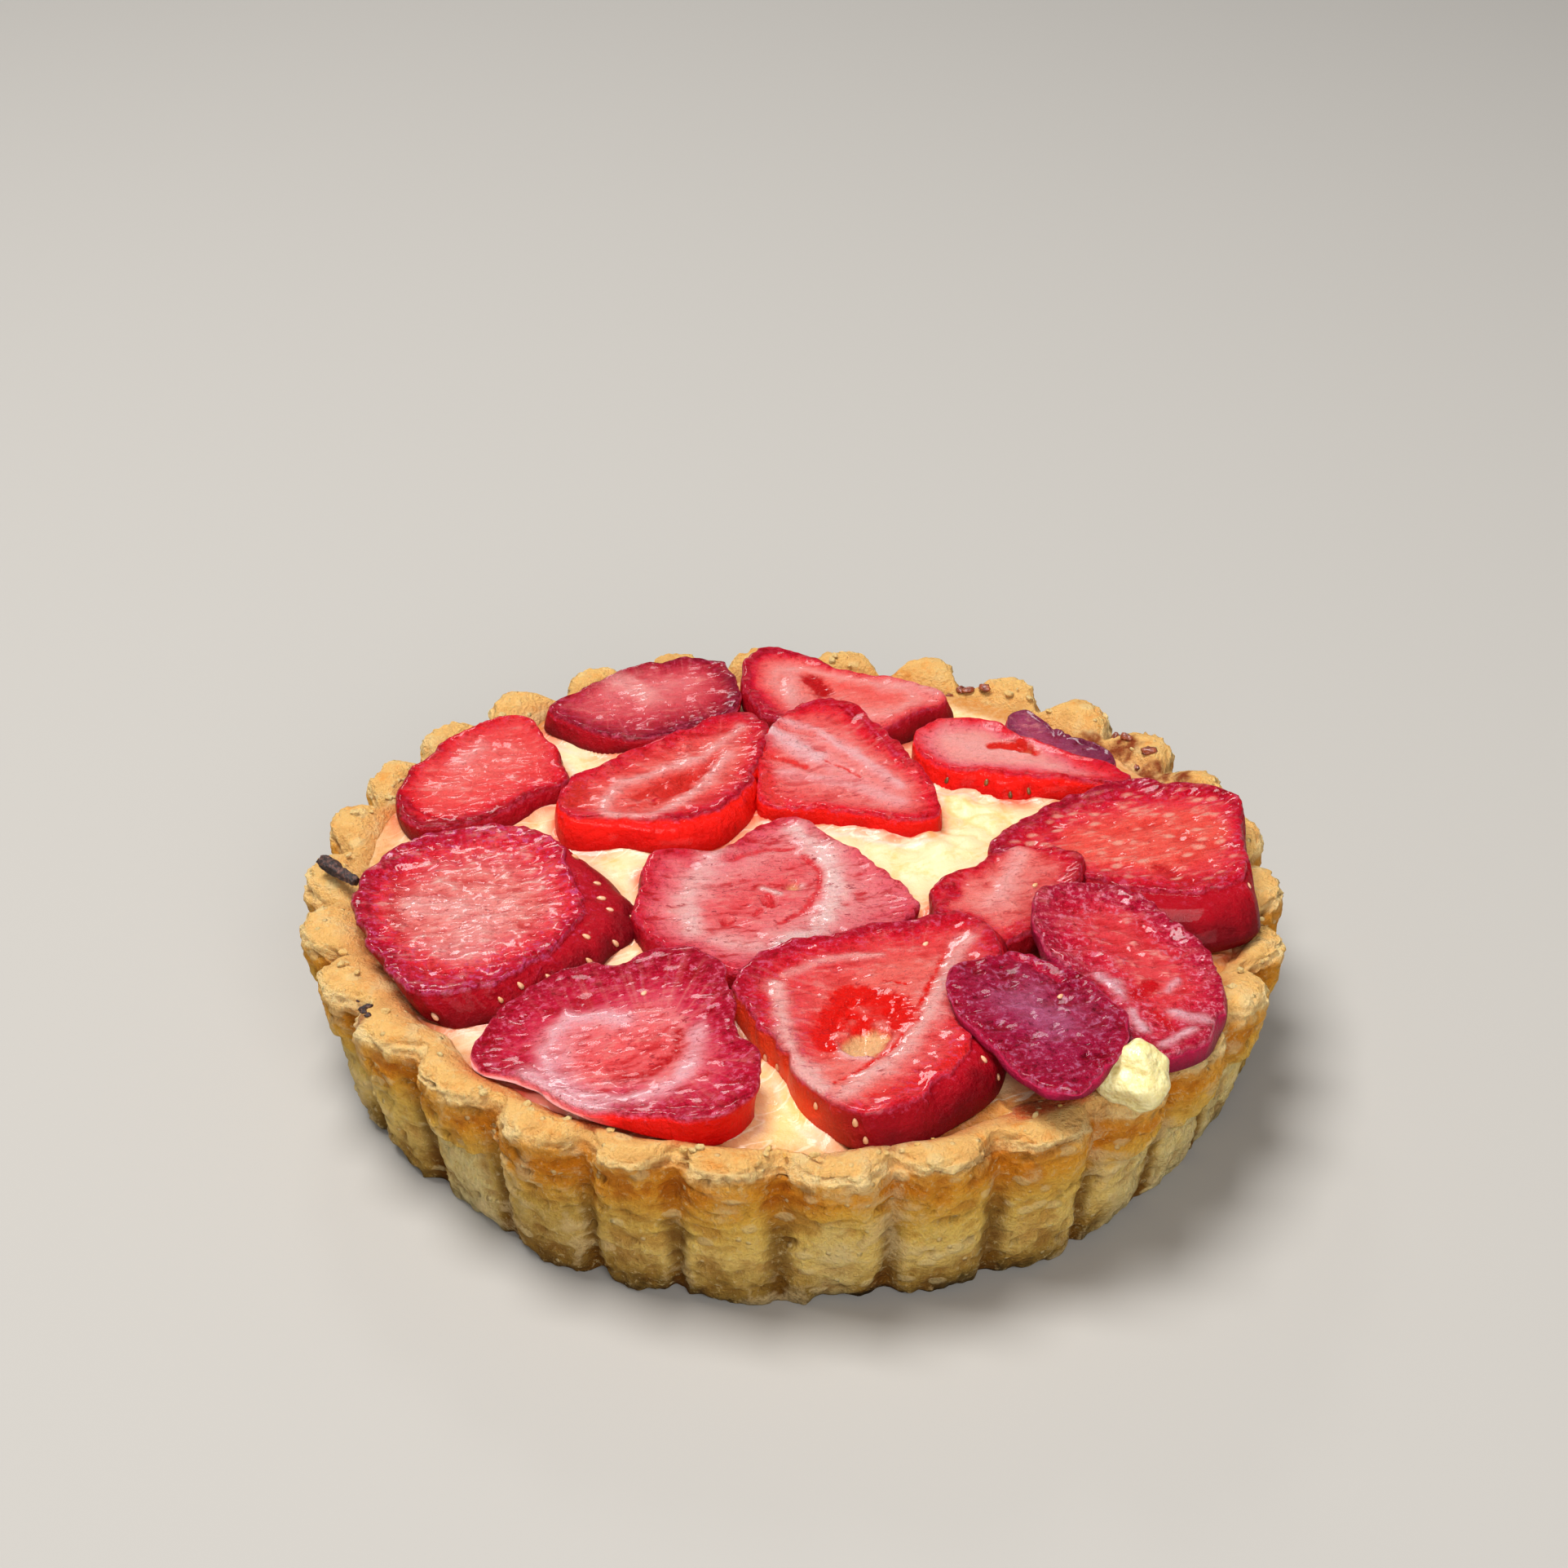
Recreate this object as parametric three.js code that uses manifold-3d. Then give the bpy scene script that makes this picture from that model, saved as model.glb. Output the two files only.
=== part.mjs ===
// A strawberry tart: a fluted shortcrust case, filled with custard and topped with cut strawberries.
// Millimetres, +Z up. The origin is the centre of the flat bottom that the tart stands on.
// Angles round the case start at the front (-Y) and grow towards the right (+X).
import * as THREE from "three";
import { mergeVertices } from "three/addons/utils/BufferGeometryUtils.js";
import Module from "manifold-3d";

const manifold = await Module();
manifold.setup();

// ---------------------------------------------------------------- driving dimensions

const GAP = 0.32; // clearance between neighbouring pieces

const CASE = {
  rimRadius: 50, // to the outside of a flute
  baseRadius: 46.8,
  rimHeight: 17.1, // in a valley between two flutes
  floorHeight: 4,
  wallInset: 5, // from the outside of a flute to the edge of the filling
  floorRadius: 40.6,
  pinches: [ // where it is out of round: the middle and half width in degrees, and how far it is set in
    { at: -51, width: 18, depth: 1.2 },
    { at: 73, width: 10, depth: -0.4 },
  ],
};

const FLUTE = {
  count: 30,
  start: -1.55, // degrees, a valley just left of the front
  depth: 2.4,
  fullness: 0.55, // below 1 the flutes are broad and the valleys narrow
  rise: 1.3, // how much higher the rim is on a flute than in a valley
  columns: [0, 0.1, 0.28, 0.5, 0.72, 0.9], // where a flute is sampled, as shares of its width
};

// The lower skin of each flute is set in under a ledge, deeper in a few places round the case.
const LEDGE = {
  height: 10.6,
  drop: 1.4,
  least: 0.1,
  spread: 0.5,
  places: [
    { at: -70, width: 22, depth: 0.7 },
    { at: 53, width: 11, depth: 1.4 },
    { at: 180, width: 50, depth: 0.5 },
  ],
};

const CUSTARD = {
  level: 16.2, // at its edge
  dome: 0.9, // how much higher its middle is
  lump: 0.32,
  columns: 60,
  rings: [0.14, 0.32, 0.5, 0.67, 0.82, 0.93],
};

const SLICE = { columns: 26, bevel: 0.45, bulge: 0.55, thinnest: 1.0, ragged: 0.22 };

// Each cut berry, from the uppermost down. "at" is the centre of its cut face, "slope" the rise of the face
// along X and Y, "thick" its thickness there and "wedge" how that changes along X and Y. "lean" is how far
// the underside lies from the face, sideways. "turn" is the direction of the first of its evenly spread
// reaches, from the centre to the edge, and the rest follow anticlockwise. "core" is a hollow in the face.
const SLICES = [
  {
    name: "slice_thin_dark", color: 0x7d1f3c, at: [22.4, -31.4, 22.5], slope: [0, 0.1], thick: 1.1,
    wedge: [0, 0], lean: [0, 0], turn: 135, reach: [9.4, 7.2, 6.5, 11, 8.8, 8.1, 7, 9.4],
  },
  {
    name: "slice_right_dark", color: 0xa02747, at: [31.9, -20.2, 21], slope: [-0.1, 0.1], thick: 2.2,
    wedge: [0, 0], lean: [0, 0], turn: 90, reach: [11, 11, 7.1, 8.5, 13.6, 11, 7.6, 7.4],
  },
  {
    name: "slice_front_hollow", color: 0xd8404a, at: [6.9, -28, 20.9], slope: [0.04, 0.02], thick: 4,
    wedge: [0, -0.28], lean: [3, -1.6], turn: 45, reach: [16, 12, 12.6, 12.9, 10.5, 15.4, 11.5, 11],
    core: { at: [1, -2], length: 4.5, width: 2.6, turn: 60, depth: 1.2 },
  },
  {
    name: "slice_small_pale", color: 0xd96a6e, at: [21.5, -8.1, 19.9], slope: [0.05, 0.08], thick: 2.2,
    wedge: [-0.12, -0.1], lean: [0, 0], turn: 45, reach: [10, 8.6, 6.3, 7.9, 6, 7, 5, 5],
  },
  {
    name: "slice_front_left", color: 0xc23e58, at: [-16.1, -32, 20], slope: [0, 0.03], thick: 3.8,
    wedge: [0, -0.22], lean: [0.4, -0.6], turn: 0, reach: [12.4, 13, 12.6, 12.1, 13, 10, 11.4, 14.2],
  },
  {
    name: "slice_half_berry", color: 0xe04a4e, at: [-12.7, 15.7, 20.4], slope: [0, 0.04], thick: 4,
    wedge: [0, -0.2], lean: [0.5, -0.8], turn: 55, reach: [14.8, 8, 6.8, 9.8, 13.7, 9.4, 9, 8.2, 9.2],
    core: { at: [0, -2.5], length: 5, width: 1.4, turn: 50, depth: 0.7 },
  },
  {
    name: "slice_centre_back", color: 0xe05560, at: [3.7, 17.6, 20.2], slope: [0, 0.12], thick: 2.4,
    wedge: [0, -0.09], lean: [0, -0.4], turn: 322, reach: [13.9, 9.3, 9, 13, 8.8, 7, 8.2, 7],
  },
  {
    name: "slice_right_back", color: 0xe05a60, at: [23, 21, 19.8], slope: [0.03, 0.1], thick: 2.6,
    wedge: [0, -0.15], lean: [0, -0.5], turn: 341, reach: [15.5, 4.3, 4.2, 7.6, 10.5, 6.9, 3.2, 4.2],
  },
  {
    name: "slice_big_left", color: 0xd5485c, at: [-31, -9.9, 20], slope: [0, 0], thick: 3.8,
    wedge: [0, 0], lean: [2.8, -0.4], turn: 65, reach: [15.8, 15.2, 13, 12.9, 15, 14, 11.9, 11.5],
  },
  {
    name: "slice_back_left", color: 0xa8324e, at: [-16.1, 33.1, 19.6], slope: [0, 0.1], thick: 2.6,
    wedge: [0, 0], lean: [-0.3, -0.3], turn: 190, reach: [11.6, 6.6, 7.6, 9.5, 10.2, 11, 6.8, 6.5],
  },
  {
    name: "slice_left_rear", color: 0xd4404e, at: [-32.4, 16.3, 19.4], slope: [-0.03, 0.06], thick: 2.6,
    wedge: [0, 0], lean: [0.6, -0.4], turn: 75, reach: [13, 9.2, 8.5, 10.4, 9.7, 7.8, 8.3, 8.4],
  },
  {
    name: "slice_back", color: 0xe0585e, at: [4.8, 32.4, 20.2], slope: [0, 0.1], thick: 3,
    wedge: [0, 0], lean: [0.3, -0.3], turn: 128, reach: [13.8, 10.1, 7.7, 6.5, 8.1, 12.2, 7, 5.5],
  },
  {
    name: "slice_jammy", color: 0x70283f, at: [28.9, 25.6, 19.2], slope: [0, 0.15], thick: 1.6,
    wedge: [0, 0], lean: [0, 0], turn: 315, reach: [8, 4, 2.8, 4, 8, 4, 4, 4],
  },
  {
    name: "slice_big_right", color: 0xc72f41, at: [35.4, 4, 20.7], slope: [0.14, 0], thick: 3.6,
    wedge: [0.12, 0], lean: [0.3, -3.2], turn: 192,
    reach: [16, 9.5, 11.7, 14, 10.6, 10.8, 10.5, 9, 9.7, 11.2],
  },
  {
    name: "slice_centre_pale", color: 0xe0727a, at: [-2.4, -7, 19.4], slope: [0, 0], thick: 2.4,
    wedge: [0, 0], lean: [-0.3, -0.3], turn: 9, reach: [14.2, 10.8, 12.8, 16, 12, 14.3, 13.5, 12],
    core: { at: [0, 0], length: 4, width: 2.4, turn: 100, depth: 0.8 },
  },
];

const CREAM = { at: [31, -36.7, 19.3], size: [3.1, 2.9, 2.7], turn: 40, color: 0xf0e0a0 };

const STALK = {
  from: [-47.6, -0.1, 19.3],
  to: [-43.8, -3.8, 18.9],
  radius: 0.72,
  sides: 8,
  steps: 5,
  color: 0x3a2a26,
};

// ---------------------------------------------------------------- small helpers

const TAU = 2 * Math.PI;
const radians = (degrees) => (degrees * Math.PI) / 180;
const clamp = (value, low, high) => Math.min(high, Math.max(low, value));

/** A fixed number between 0 and 1 for a pair of whole numbers. */
function draw(index, seed) {
  const wave = Math.sin(index * 12.9898 + seed * 78.233) * 43758.5453;
  return wave - Math.floor(wave);
}

/** Smooth unevenness between -1 and 1 once round a closed edge. */
function unevenness(angle, seed) {
  const phase = TAU * draw(seed, 1);
  const wave = (turns, shift) => Math.sin(turns * angle + shift * phase);
  return 0.5 * wave(3, 1) + 0.3 * wave(7, 2.3) + 0.2 * wave(12, 1);
}

/** A closed surface from rings of equally many points, each end closed by a fan to a centre point. */
function ringSolid(rings, lowCentre, highCentre) {
  const columns = rings[0].length;
  const points = [lowCentre, ...rings.flat(), highCentre];
  const at = (ring, column) => 1 + ring * columns + (column % columns);
  const last = points.length - 1;
  const faces = [];
  for (let column = 0; column < columns; column += 1) {
    faces.push(0, at(0, column + 1), at(0, column));
    for (let ring = 0; ring + 1 < rings.length; ring += 1) {
      const [a, b] = [at(ring, column), at(ring, column + 1)];
      const [c, d] = [at(ring + 1, column), at(ring + 1, column + 1)];
      faces.push(a, b, d, a, d, c);
    }
    faces.push(at(rings.length - 1, column), at(rings.length - 1, column + 1), last);
  }
  const geometry = new THREE.BufferGeometry();
  geometry.setAttribute("position", new THREE.Float32BufferAttribute(points.flat(), 3));
  geometry.setIndex(faces);
  return geometry;
}

/** The solid of a closed geometry, for cutting. */
function toSolid(geometry) {
  const bare = geometry.clone();
  bare.deleteAttribute("normal");
  bare.deleteAttribute("uv");
  const merged = mergeVertices(bare, 1e-4);
  return new manifold.Manifold(
    new manifold.Mesh({
      numProp: 3,
      vertProperties: new Float32Array(merged.attributes.position.array),
      triVerts: new Uint32Array(merged.index.array),
    }),
  );
}

/** The geometry of a solid: its largest body, without the scraps that a cut may leave. */
function toGeometry(solid) {
  const bodies = solid.decompose();
  const largest = bodies.reduce((best, body) => (body.volume() > best.volume() ? body : best));
  const mesh = largest.getMesh();
  const geometry = new THREE.BufferGeometry();
  geometry.setAttribute("position", new THREE.Float32BufferAttribute(mesh.vertProperties, 3));
  geometry.setIndex(Array.from(mesh.triVerts));
  return geometry;
}

function mesh(name, geometry, color, roughness) {
  const shaded = geometry.clone();
  shaded.computeVertexNormals();
  const material = new THREE.MeshStandardMaterial({ color, roughness, metalness: 0 });
  const piece = new THREE.Mesh(shaded, material);
  piece.name = name;
  return piece;
}

// ---------------------------------------------------------------- the crust

/** How full a flute is at an angle: 0 in a valley and 1 on the flute. */
function lobe(angle) {
  const flutes = ((angle - radians(FLUTE.start)) * FLUTE.count) / TAU;
  return Math.abs(Math.sin(Math.PI * flutes)) ** FLUTE.fullness;
}

/** The number of the flute at an angle, counted from the front valley. */
function fluteNumber(angle) {
  const flutes = ((angle - radians(FLUTE.start)) * FLUTE.count) / TAU;
  return (Math.floor(flutes + 1e-6) + FLUTE.count) % FLUTE.count;
}

/** The sum at an angle of what a list of places round the case sets in. */
function setIn(places, angle) {
  return places.reduce((sum, { at, width, depth }) => {
    const turned = (angle - radians(at) + 2.5 * TAU) % TAU;
    const away = (turned - Math.PI) / radians(width);
    return sum + depth * Math.exp(-away * away);
  }, 0);
}

/** How far the lower skin of the flute at an angle is set in. */
function ledgeDepth(angle) {
  const random = LEDGE.spread * draw(fluteNumber(angle), 3);
  return lobe(angle) * (LEDGE.least + setIn(LEDGE.places, angle) + random);
}

/**
 * The case's profile, from the edge of the base up the outside, over the rim and down to the floor.
 * "flute" is the depth of the valleys at that height and "rise" how far the point follows the wavy rim.
 */
function caseProfile(grow) {
  const { rimRadius, baseRadius, rimHeight, floorHeight, wallInset, floorRadius } = CASE;
  const outer = (share) => baseRadius + (rimRadius - baseRadius) * share + grow;
  return [
    { radius: outer(0) - 0.8, z: -grow, flute: 1.4, rise: 0, lower: 0.6 },
    { radius: outer(0.02), z: 1, flute: 1.8, rise: 0, lower: 0.8 },
    { radius: outer(0.5), z: LEDGE.height - LEDGE.drop, flute: 2.1, rise: 0, lower: 1 },
    { radius: outer(0.6), z: LEDGE.height, flute: 2.1, rise: 0, lower: 0 },
    { radius: outer(0.98), z: rimHeight - 1.4, flute: FLUTE.depth, rise: 0.7, lower: 0 },
    { radius: outer(1) - 0.1, z: rimHeight - 0.35, flute: FLUTE.depth, rise: 1, lower: 0 },
    { radius: outer(1) - 0.9, z: rimHeight + grow, flute: 0.9 * FLUTE.depth, rise: 1, lower: 0 },
    { radius: outer(1) - 3.2 - 2 * grow, z: rimHeight + 0.25 + grow, flute: 1.08, rise: 0.7, lower: 0 },
    { radius: rimRadius - wallInset - grow, z: CUSTARD.level + 0.3, flute: 0.5, rise: 0.2, lower: 0 },
    { radius: floorRadius - grow, z: floorHeight + grow, flute: 0, rise: 0, lower: 0 },
  ];
}

/** The crust, or with grow above 0 the room that it needs. */
function crustGeometry(grow = 0) {
  const angles = [];
  for (let flute = 0; flute < FLUTE.count; flute += 1) {
    const turn = (share) => radians(FLUTE.start) + ((flute + share) * TAU) / FLUTE.count;
    angles.push(...FLUTE.columns.map(turn));
  }
  const rings = caseProfile(grow).map(({ radius, z, flute, rise, lower }) =>
    angles.map((angle) => {
      const number = fluteNumber(angle);
      const full = lobe(angle);
      const uneven = 0.35 * unevenness(angle, 5) + 0.25 * (draw(number, 4) - 0.5);
      const rough = flute > 1 ? uneven * full : 0;
      const set = flute > 1 ? setIn(CASE.pinches, angle) : 0;
      const r = radius - set - flute * (1 - full) - lower * ledgeDepth(angle) - Math.abs(rough);
      const wave = rise * (FLUTE.rise * full - FLUTE.rise * 0.15 + 0.35 * unevenness(angle, 8));
      return [r * Math.sin(angle), -r * Math.cos(angle), z + wave];
    }),
  );
  return ringSolid(rings, [0, 0, -grow], [0, 0, CASE.floorHeight + grow]);
}

// ---------------------------------------------------------------- the custard

/** The height of the custard's lumpy top. */
function custardTop(x, y) {
  const radius = CASE.rimRadius - CASE.wallInset;
  const dome = CUSTARD.dome * (1 - (x * x + y * y) / radius ** 2);
  const fine = Math.sin(x / 2.7 + 1.2) * Math.sin(y / 2.9 + 0.4);
  const broad = Math.sin((x + y) / 4.3) * Math.sin((x - y) / 3.6);
  const calm = clamp((radius - Math.hypot(x, y)) / 8, 0, 1);
  return CUSTARD.level + dome + CUSTARD.lump * (fine + 0.6 * broad) * calm;
}

function custardGeometry() {
  const edge = CASE.rimRadius - CASE.wallInset - 0.5 - GAP;
  const floor = CASE.floorHeight + GAP;
  const angles = Array.from({ length: CUSTARD.columns }, (_, k) => (k * TAU) / CUSTARD.columns);
  const ring = (radius, height) =>
    angles.map((angle) => {
      const [x, y] = [radius * Math.sin(angle), -radius * Math.cos(angle)];
      return [x, y, height ?? custardTop(x, y)];
    });
  const rings = [
    ring(CASE.floorRadius - 0.6 - GAP, floor),
    ring(edge - 0.2, CUSTARD.level - 0.5),
    ring(edge - 0.5, CUSTARD.level - 0.05),
    ...CUSTARD.rings.toReversed().map((share) => ring(share * edge)),
  ];
  return ringSolid(rings, [0, 0, floor], [0, 0, custardTop(0, 0)]);
}

// ---------------------------------------------------------------- the cut strawberries

/** The distance from a slice's centre to its edge, on a smooth closed curve through its reaches. */
function reachAt(slice, angle) {
  const count = slice.reach.length;
  const place = ((((angle - radians(slice.turn)) / TAU) % 1) + 1) % 1 * count;
  const k = Math.floor(place);
  const t = place - k;
  const [a, b, c, d] = [-1, 0, 1, 2].map((step) => slice.reach[(k + step + count) % count]);
  return b + 0.5 * t * (c - a + t * (2 * a - 5 * b + 4 * c - d + t * (3 * (b - c) + d - a)));
}

/** How deep the hollow core is at a place on the face. */
function coreDepth(core, dx, dy) {
  if (!core) return 0;
  const turn = radians(core.turn);
  const [px, py] = [dx - core.at[0], dy - core.at[1]];
  const along = (px * Math.cos(turn) + py * Math.sin(turn)) / core.length;
  const across = (py * Math.cos(turn) - px * Math.sin(turn)) / core.width;
  return core.depth * Math.max(0, 1 - along * along - across * across);
}

/** One slice, or with grow above 0 the room that it needs. */
function sliceGeometry(slice, index, grow = 0) {
  const [cx, cy, cz] = slice.at;
  const face = (dx, dy) => cz + slice.slope[0] * dx + slice.slope[1] * dy;
  const [wedgeX, wedgeY] = slice.wedge;
  const thickness = (dx, dy) => Math.max(SLICE.thinnest, slice.thick + wedgeX * dx + wedgeY * dy);
  const angles = Array.from({ length: SLICE.columns }, (_, k) => (k * TAU) / SLICE.columns);
  // "drop" runs from 0 at the face to 1 at the underside
  const point = (angle, share, inset, drop, dip) => {
    const edge = reachAt(slice, angle) + SLICE.ragged * unevenness(angle, index + 20);
    const radius = Math.max(0.2, share * edge - inset + grow * Math.min(1, share));
    const [fx, fy] = [radius * Math.cos(angle), radius * Math.sin(angle)];
    const [dx, dy] = [fx + drop * slice.lean[0], fy + drop * slice.lean[1]];
    const top = face(fx, fy) - dip - coreDepth(slice.core, fx, fy);
    const sunk = Math.max(face(fx, fy) - thickness(fx, fy) - grow, custardTop(cx + dx, cy + dy) + GAP);
    const z = drop === 0 ? top + grow : Math.min(top - 0.3, top - dip + (sunk - top) * drop);
    return [cx + dx, cy + dy, z];
  };
  const loop = (share, inset, drop, dip) => angles.map((angle) => point(angle, share, inset, drop, dip));
  const rings = [
    loop(0.6, 0, 1, 0),
    loop(1, 2 * SLICE.bevel, 1, 0),
    loop(1, -SLICE.bulge, 0.6, 0),
    loop(1, 0, 0.12, SLICE.bevel * 0.2),
    loop(1, SLICE.bevel, 0, 0),
    loop(0.72, 0, 0, 0),
    loop(0.38, 0, 0, 0),
  ];
  const middle = (drop) => point(0, 0, 0, drop, 0);
  const [low, high] = [middle(1), middle(0)];
  return ringSolid(rings, [low[0] - 0.2, low[1], low[2]], [high[0] - 0.2, high[1], high[2]]);
}

/** Every slice, each cut clear of the crust and of the slices that lie on it, and the room that all need. */
function sliceMeshes(crustRoom) {
  let room = crustRoom;
  const meshes = SLICES.map((slice, index) => {
    const whole = toSolid(sliceGeometry(slice, index));
    const clear = whole.subtract(room);
    room = room.add(toSolid(sliceGeometry(slice, index, GAP)));
    return mesh(slice.name, toGeometry(clear), slice.color, 0.3);
  });
  return { meshes, room };
}

// ---------------------------------------------------------------- what lies on the rim

/** The uneven lump of set cream on the right front of the rim. */
function creamGeometry() {
  const ball = new THREE.IcosahedronGeometry(1, 3);
  ball.deleteAttribute("normal");
  ball.deleteAttribute("uv");
  const geometry = mergeVertices(ball, 1e-4);
  const place = geometry.attributes.position;
  for (let k = 0; k < place.count; k += 1) {
    const [x, y, z] = [place.getX(k), place.getY(k), place.getZ(k)];
    const folds = 0.12 * Math.sin(4 * x + 1) + 0.1 * Math.sin(5 * y + 2 * z);
    const swell = 1 + folds - 0.12 * Math.max(0, z) * Math.abs(x);
    place.setXYZ(k, x * swell * CREAM.size[0], y * swell * CREAM.size[1], z * swell * CREAM.size[2]);
  }
  geometry.rotateZ(radians(CREAM.turn));
  geometry.translate(...CREAM.at);
  return geometry;
}

/** The short dark piece of vanilla pod on the left of the rim. */
function stalkGeometry() {
  const [from, to] = [new THREE.Vector3(...STALK.from), new THREE.Vector3(...STALK.to)];
  const along = to.clone().sub(from);
  const side = new THREE.Vector3(-along.y, along.x, 0).normalize();
  const angles = Array.from({ length: STALK.sides }, (_, k) => (k * TAU) / STALK.sides);
  const rings = Array.from({ length: STALK.steps + 1 }, (_, step) => {
    const share = step / STALK.steps;
    const centre = from.clone().addScaledVector(along, share);
    const width = STALK.radius * (1 + 0.25 * Math.sin(5 * share + 0.6));
    return angles.map((angle) => {
      const p = centre.clone().addScaledVector(side, width * Math.cos(angle));
      return [p.x, p.y, p.z + 0.8 * width * Math.sin(angle)];
    });
  });
  return ringSolid(rings, from.toArray(), to.toArray());
}

// ---------------------------------------------------------------- the tart

const crustRoom = toSolid(crustGeometry(GAP));
const tart = new THREE.Group();
tart.add(mesh("crust", crustGeometry(), 0xd9a55c, 0.8));
tart.add(mesh("custard", custardGeometry(), 0xf0dc98, 0.35));
const slices = sliceMeshes(crustRoom);
tart.add(...slices.meshes);
const cutClear = (geometry) => toGeometry(toSolid(geometry).subtract(slices.room));
tart.add(mesh("cream_lump", cutClear(creamGeometry()), CREAM.color, 0.5));
tart.add(mesh("vanilla_piece", cutClear(stalkGeometry()), STALK.color, 0.7));

export default tart;
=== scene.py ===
"""The looks of a strawberry tart: a fluted shortcrust case, set custard, cut strawberries and the studio.

Sizes are millimetres in the tart's own frame, and become metres when a mesh is made. Angles round the
case start at the front (-Y) and grow towards the right (+X). Angles round a slice start at +X.
"""

from __future__ import annotations

import itertools
import logging
import math
from dataclasses import dataclass, field
from enum import Enum

import bpy
import numpy as np
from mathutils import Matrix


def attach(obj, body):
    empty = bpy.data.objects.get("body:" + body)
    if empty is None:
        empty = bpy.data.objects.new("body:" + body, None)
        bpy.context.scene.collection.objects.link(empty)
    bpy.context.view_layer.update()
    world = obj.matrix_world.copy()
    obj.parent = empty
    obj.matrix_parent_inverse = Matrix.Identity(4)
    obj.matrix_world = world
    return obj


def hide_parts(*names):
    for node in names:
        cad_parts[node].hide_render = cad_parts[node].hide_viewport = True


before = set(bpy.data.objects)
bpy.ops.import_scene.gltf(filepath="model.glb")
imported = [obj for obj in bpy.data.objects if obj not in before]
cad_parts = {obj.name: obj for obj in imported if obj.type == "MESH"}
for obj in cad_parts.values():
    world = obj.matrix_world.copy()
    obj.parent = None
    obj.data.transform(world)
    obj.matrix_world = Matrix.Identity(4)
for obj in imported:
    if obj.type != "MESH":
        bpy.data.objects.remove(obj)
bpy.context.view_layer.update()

MM = 0.001  # metres in a millimetre
TAU = 2 * math.pi
FAR = 9.0  # millimetres, further than any berry wets what is round it
log = logging.getLogger("tart")


# ---------------------------------------------------------------- numbers that repeat


def draw(index: float, seed: float) -> float:
    """A fixed number between 0 and 1 for a pair of whole numbers."""
    wave = math.sin(index * 12.9898 + seed * 78.233) * 43758.5453
    return wave - math.floor(wave)


def unevenness(angle: np.ndarray, seed: int) -> np.ndarray:
    """Smooth unevenness between -1 and 1 once round a closed edge."""
    phase = TAU * draw(seed, 1)
    waves = ((3, 0.5, 1), (7, 0.3, 2.3), (12, 0.2, 1))
    return sum(size * np.sin(turns * angle + shift * phase) for turns, size, shift in waves)


def smooth(low: float, high: float, value: np.ndarray) -> np.ndarray:
    """A soft step.

    Args:
        low: Where the step starts.
        high: Where it ends; below low for a step down.
        value: The numbers to judge.

    Returns:
        0 before low, 1 after high, and an eased share between.
    """
    share = np.clip((np.asarray(value, float) - low) / (high - low), 0, 1)
    return share * share * (3 - 2 * share)


def lattice(cell: np.ndarray, seed: int) -> np.ndarray:
    """A fixed number from -1 to 1 for each whole-numbered cell."""
    x, y, z = (cell[..., axis].astype(np.int64) for axis in range(3))
    mixed = (x * 374761393 + y * 668265263 + z * 1103515245 + seed * 974634777) & 0xFFFFFFFF
    mixed = ((mixed ^ (mixed >> 13)) * 1274126177) & 0xFFFFFFFF
    return (mixed ^ (mixed >> 16)) / 0x7FFFFFFF - 1.0


def noise(
    points: np.ndarray, size: float | tuple[float, float, float], seed: int, octaves: int = 1
) -> np.ndarray:
    """Smooth noise.

    Args:
        points: Places, one to a row, in millimetres.
        size: The size of its lumps, the same or one for each axis.
        seed: Which noise.
        octaves: How many times it is added again at half the size and half the strength.

    Returns:
        Numbers from about -1 to 1.
    """
    total = np.zeros(points.shape[:-1])
    for octave in range(octaves):
        place = points / (np.asarray(size, float) / 2**octave) + 31.7 * octave
        cell = np.floor(place)
        part = place - cell
        part = part * part * (3 - 2 * part)
        for corner in itertools.product((0, 1), repeat=3):
            weight = np.prod(np.where(corner, part, 1 - part), axis=-1)
            total += weight * lattice(cell + corner, seed + octave) / 2**octave
    return total


def patch(x: np.ndarray, y: np.ndarray, at: tuple[float, float], reach: tuple[float, float]) -> np.ndarray:
    """A soft patch: 1 at its centre, fading over its reach along X and Y."""
    return np.exp(-(((x - at[0]) / reach[0]) ** 2) - ((y - at[1]) / reach[1]) ** 2)


def turned(points: np.ndarray, angle: float) -> np.ndarray:
    """Points turned about the vertical, by an angle in radians."""
    x = points[..., 0] * math.cos(angle) - points[..., 1] * math.sin(angle)
    y = points[..., 0] * math.sin(angle) + points[..., 1] * math.cos(angle)
    return np.stack([x, y, points[..., 2]], -1)


def curve_through(knots: np.ndarray, counts: tuple[int, ...]) -> np.ndarray:
    """Rows on a smooth curve.

    Args:
        knots: The rows that it passes through.
        counts: How many rows each stretch between two knots gets.

    Returns:
        The rows, from the first knot to the last.
    """
    rows = []
    last = len(knots) - 1
    for k, count in enumerate(counts):
        a, b, c, d = (knots[min(max(k + step, 0), last)] for step in (-1, 0, 1, 2))
        for t in np.arange(count) / count:
            bend = t * (2 * a - 5 * b + 4 * c - d + t * (3 * (b - c) + d - a))
            rows.append(b + 0.5 * t * (c - a + bend))
    return np.array([*rows, knots[last]])


def line_distance(points: np.ndarray, line: np.ndarray) -> np.ndarray:
    """The distance from each flat point to the nearest place on a line of points."""
    start, run = line[:-1], np.diff(line, axis=0)
    length = np.maximum((run**2).sum(1), 1e-9)
    away = points[:, None, :] - start[None]
    share = np.clip((away * run).sum(2) / length, 0, 1)
    return np.sqrt(((away - share[..., None] * run) ** 2).sum(2)).min(1)


# ---------------------------------------------------------------- meshes


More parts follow.
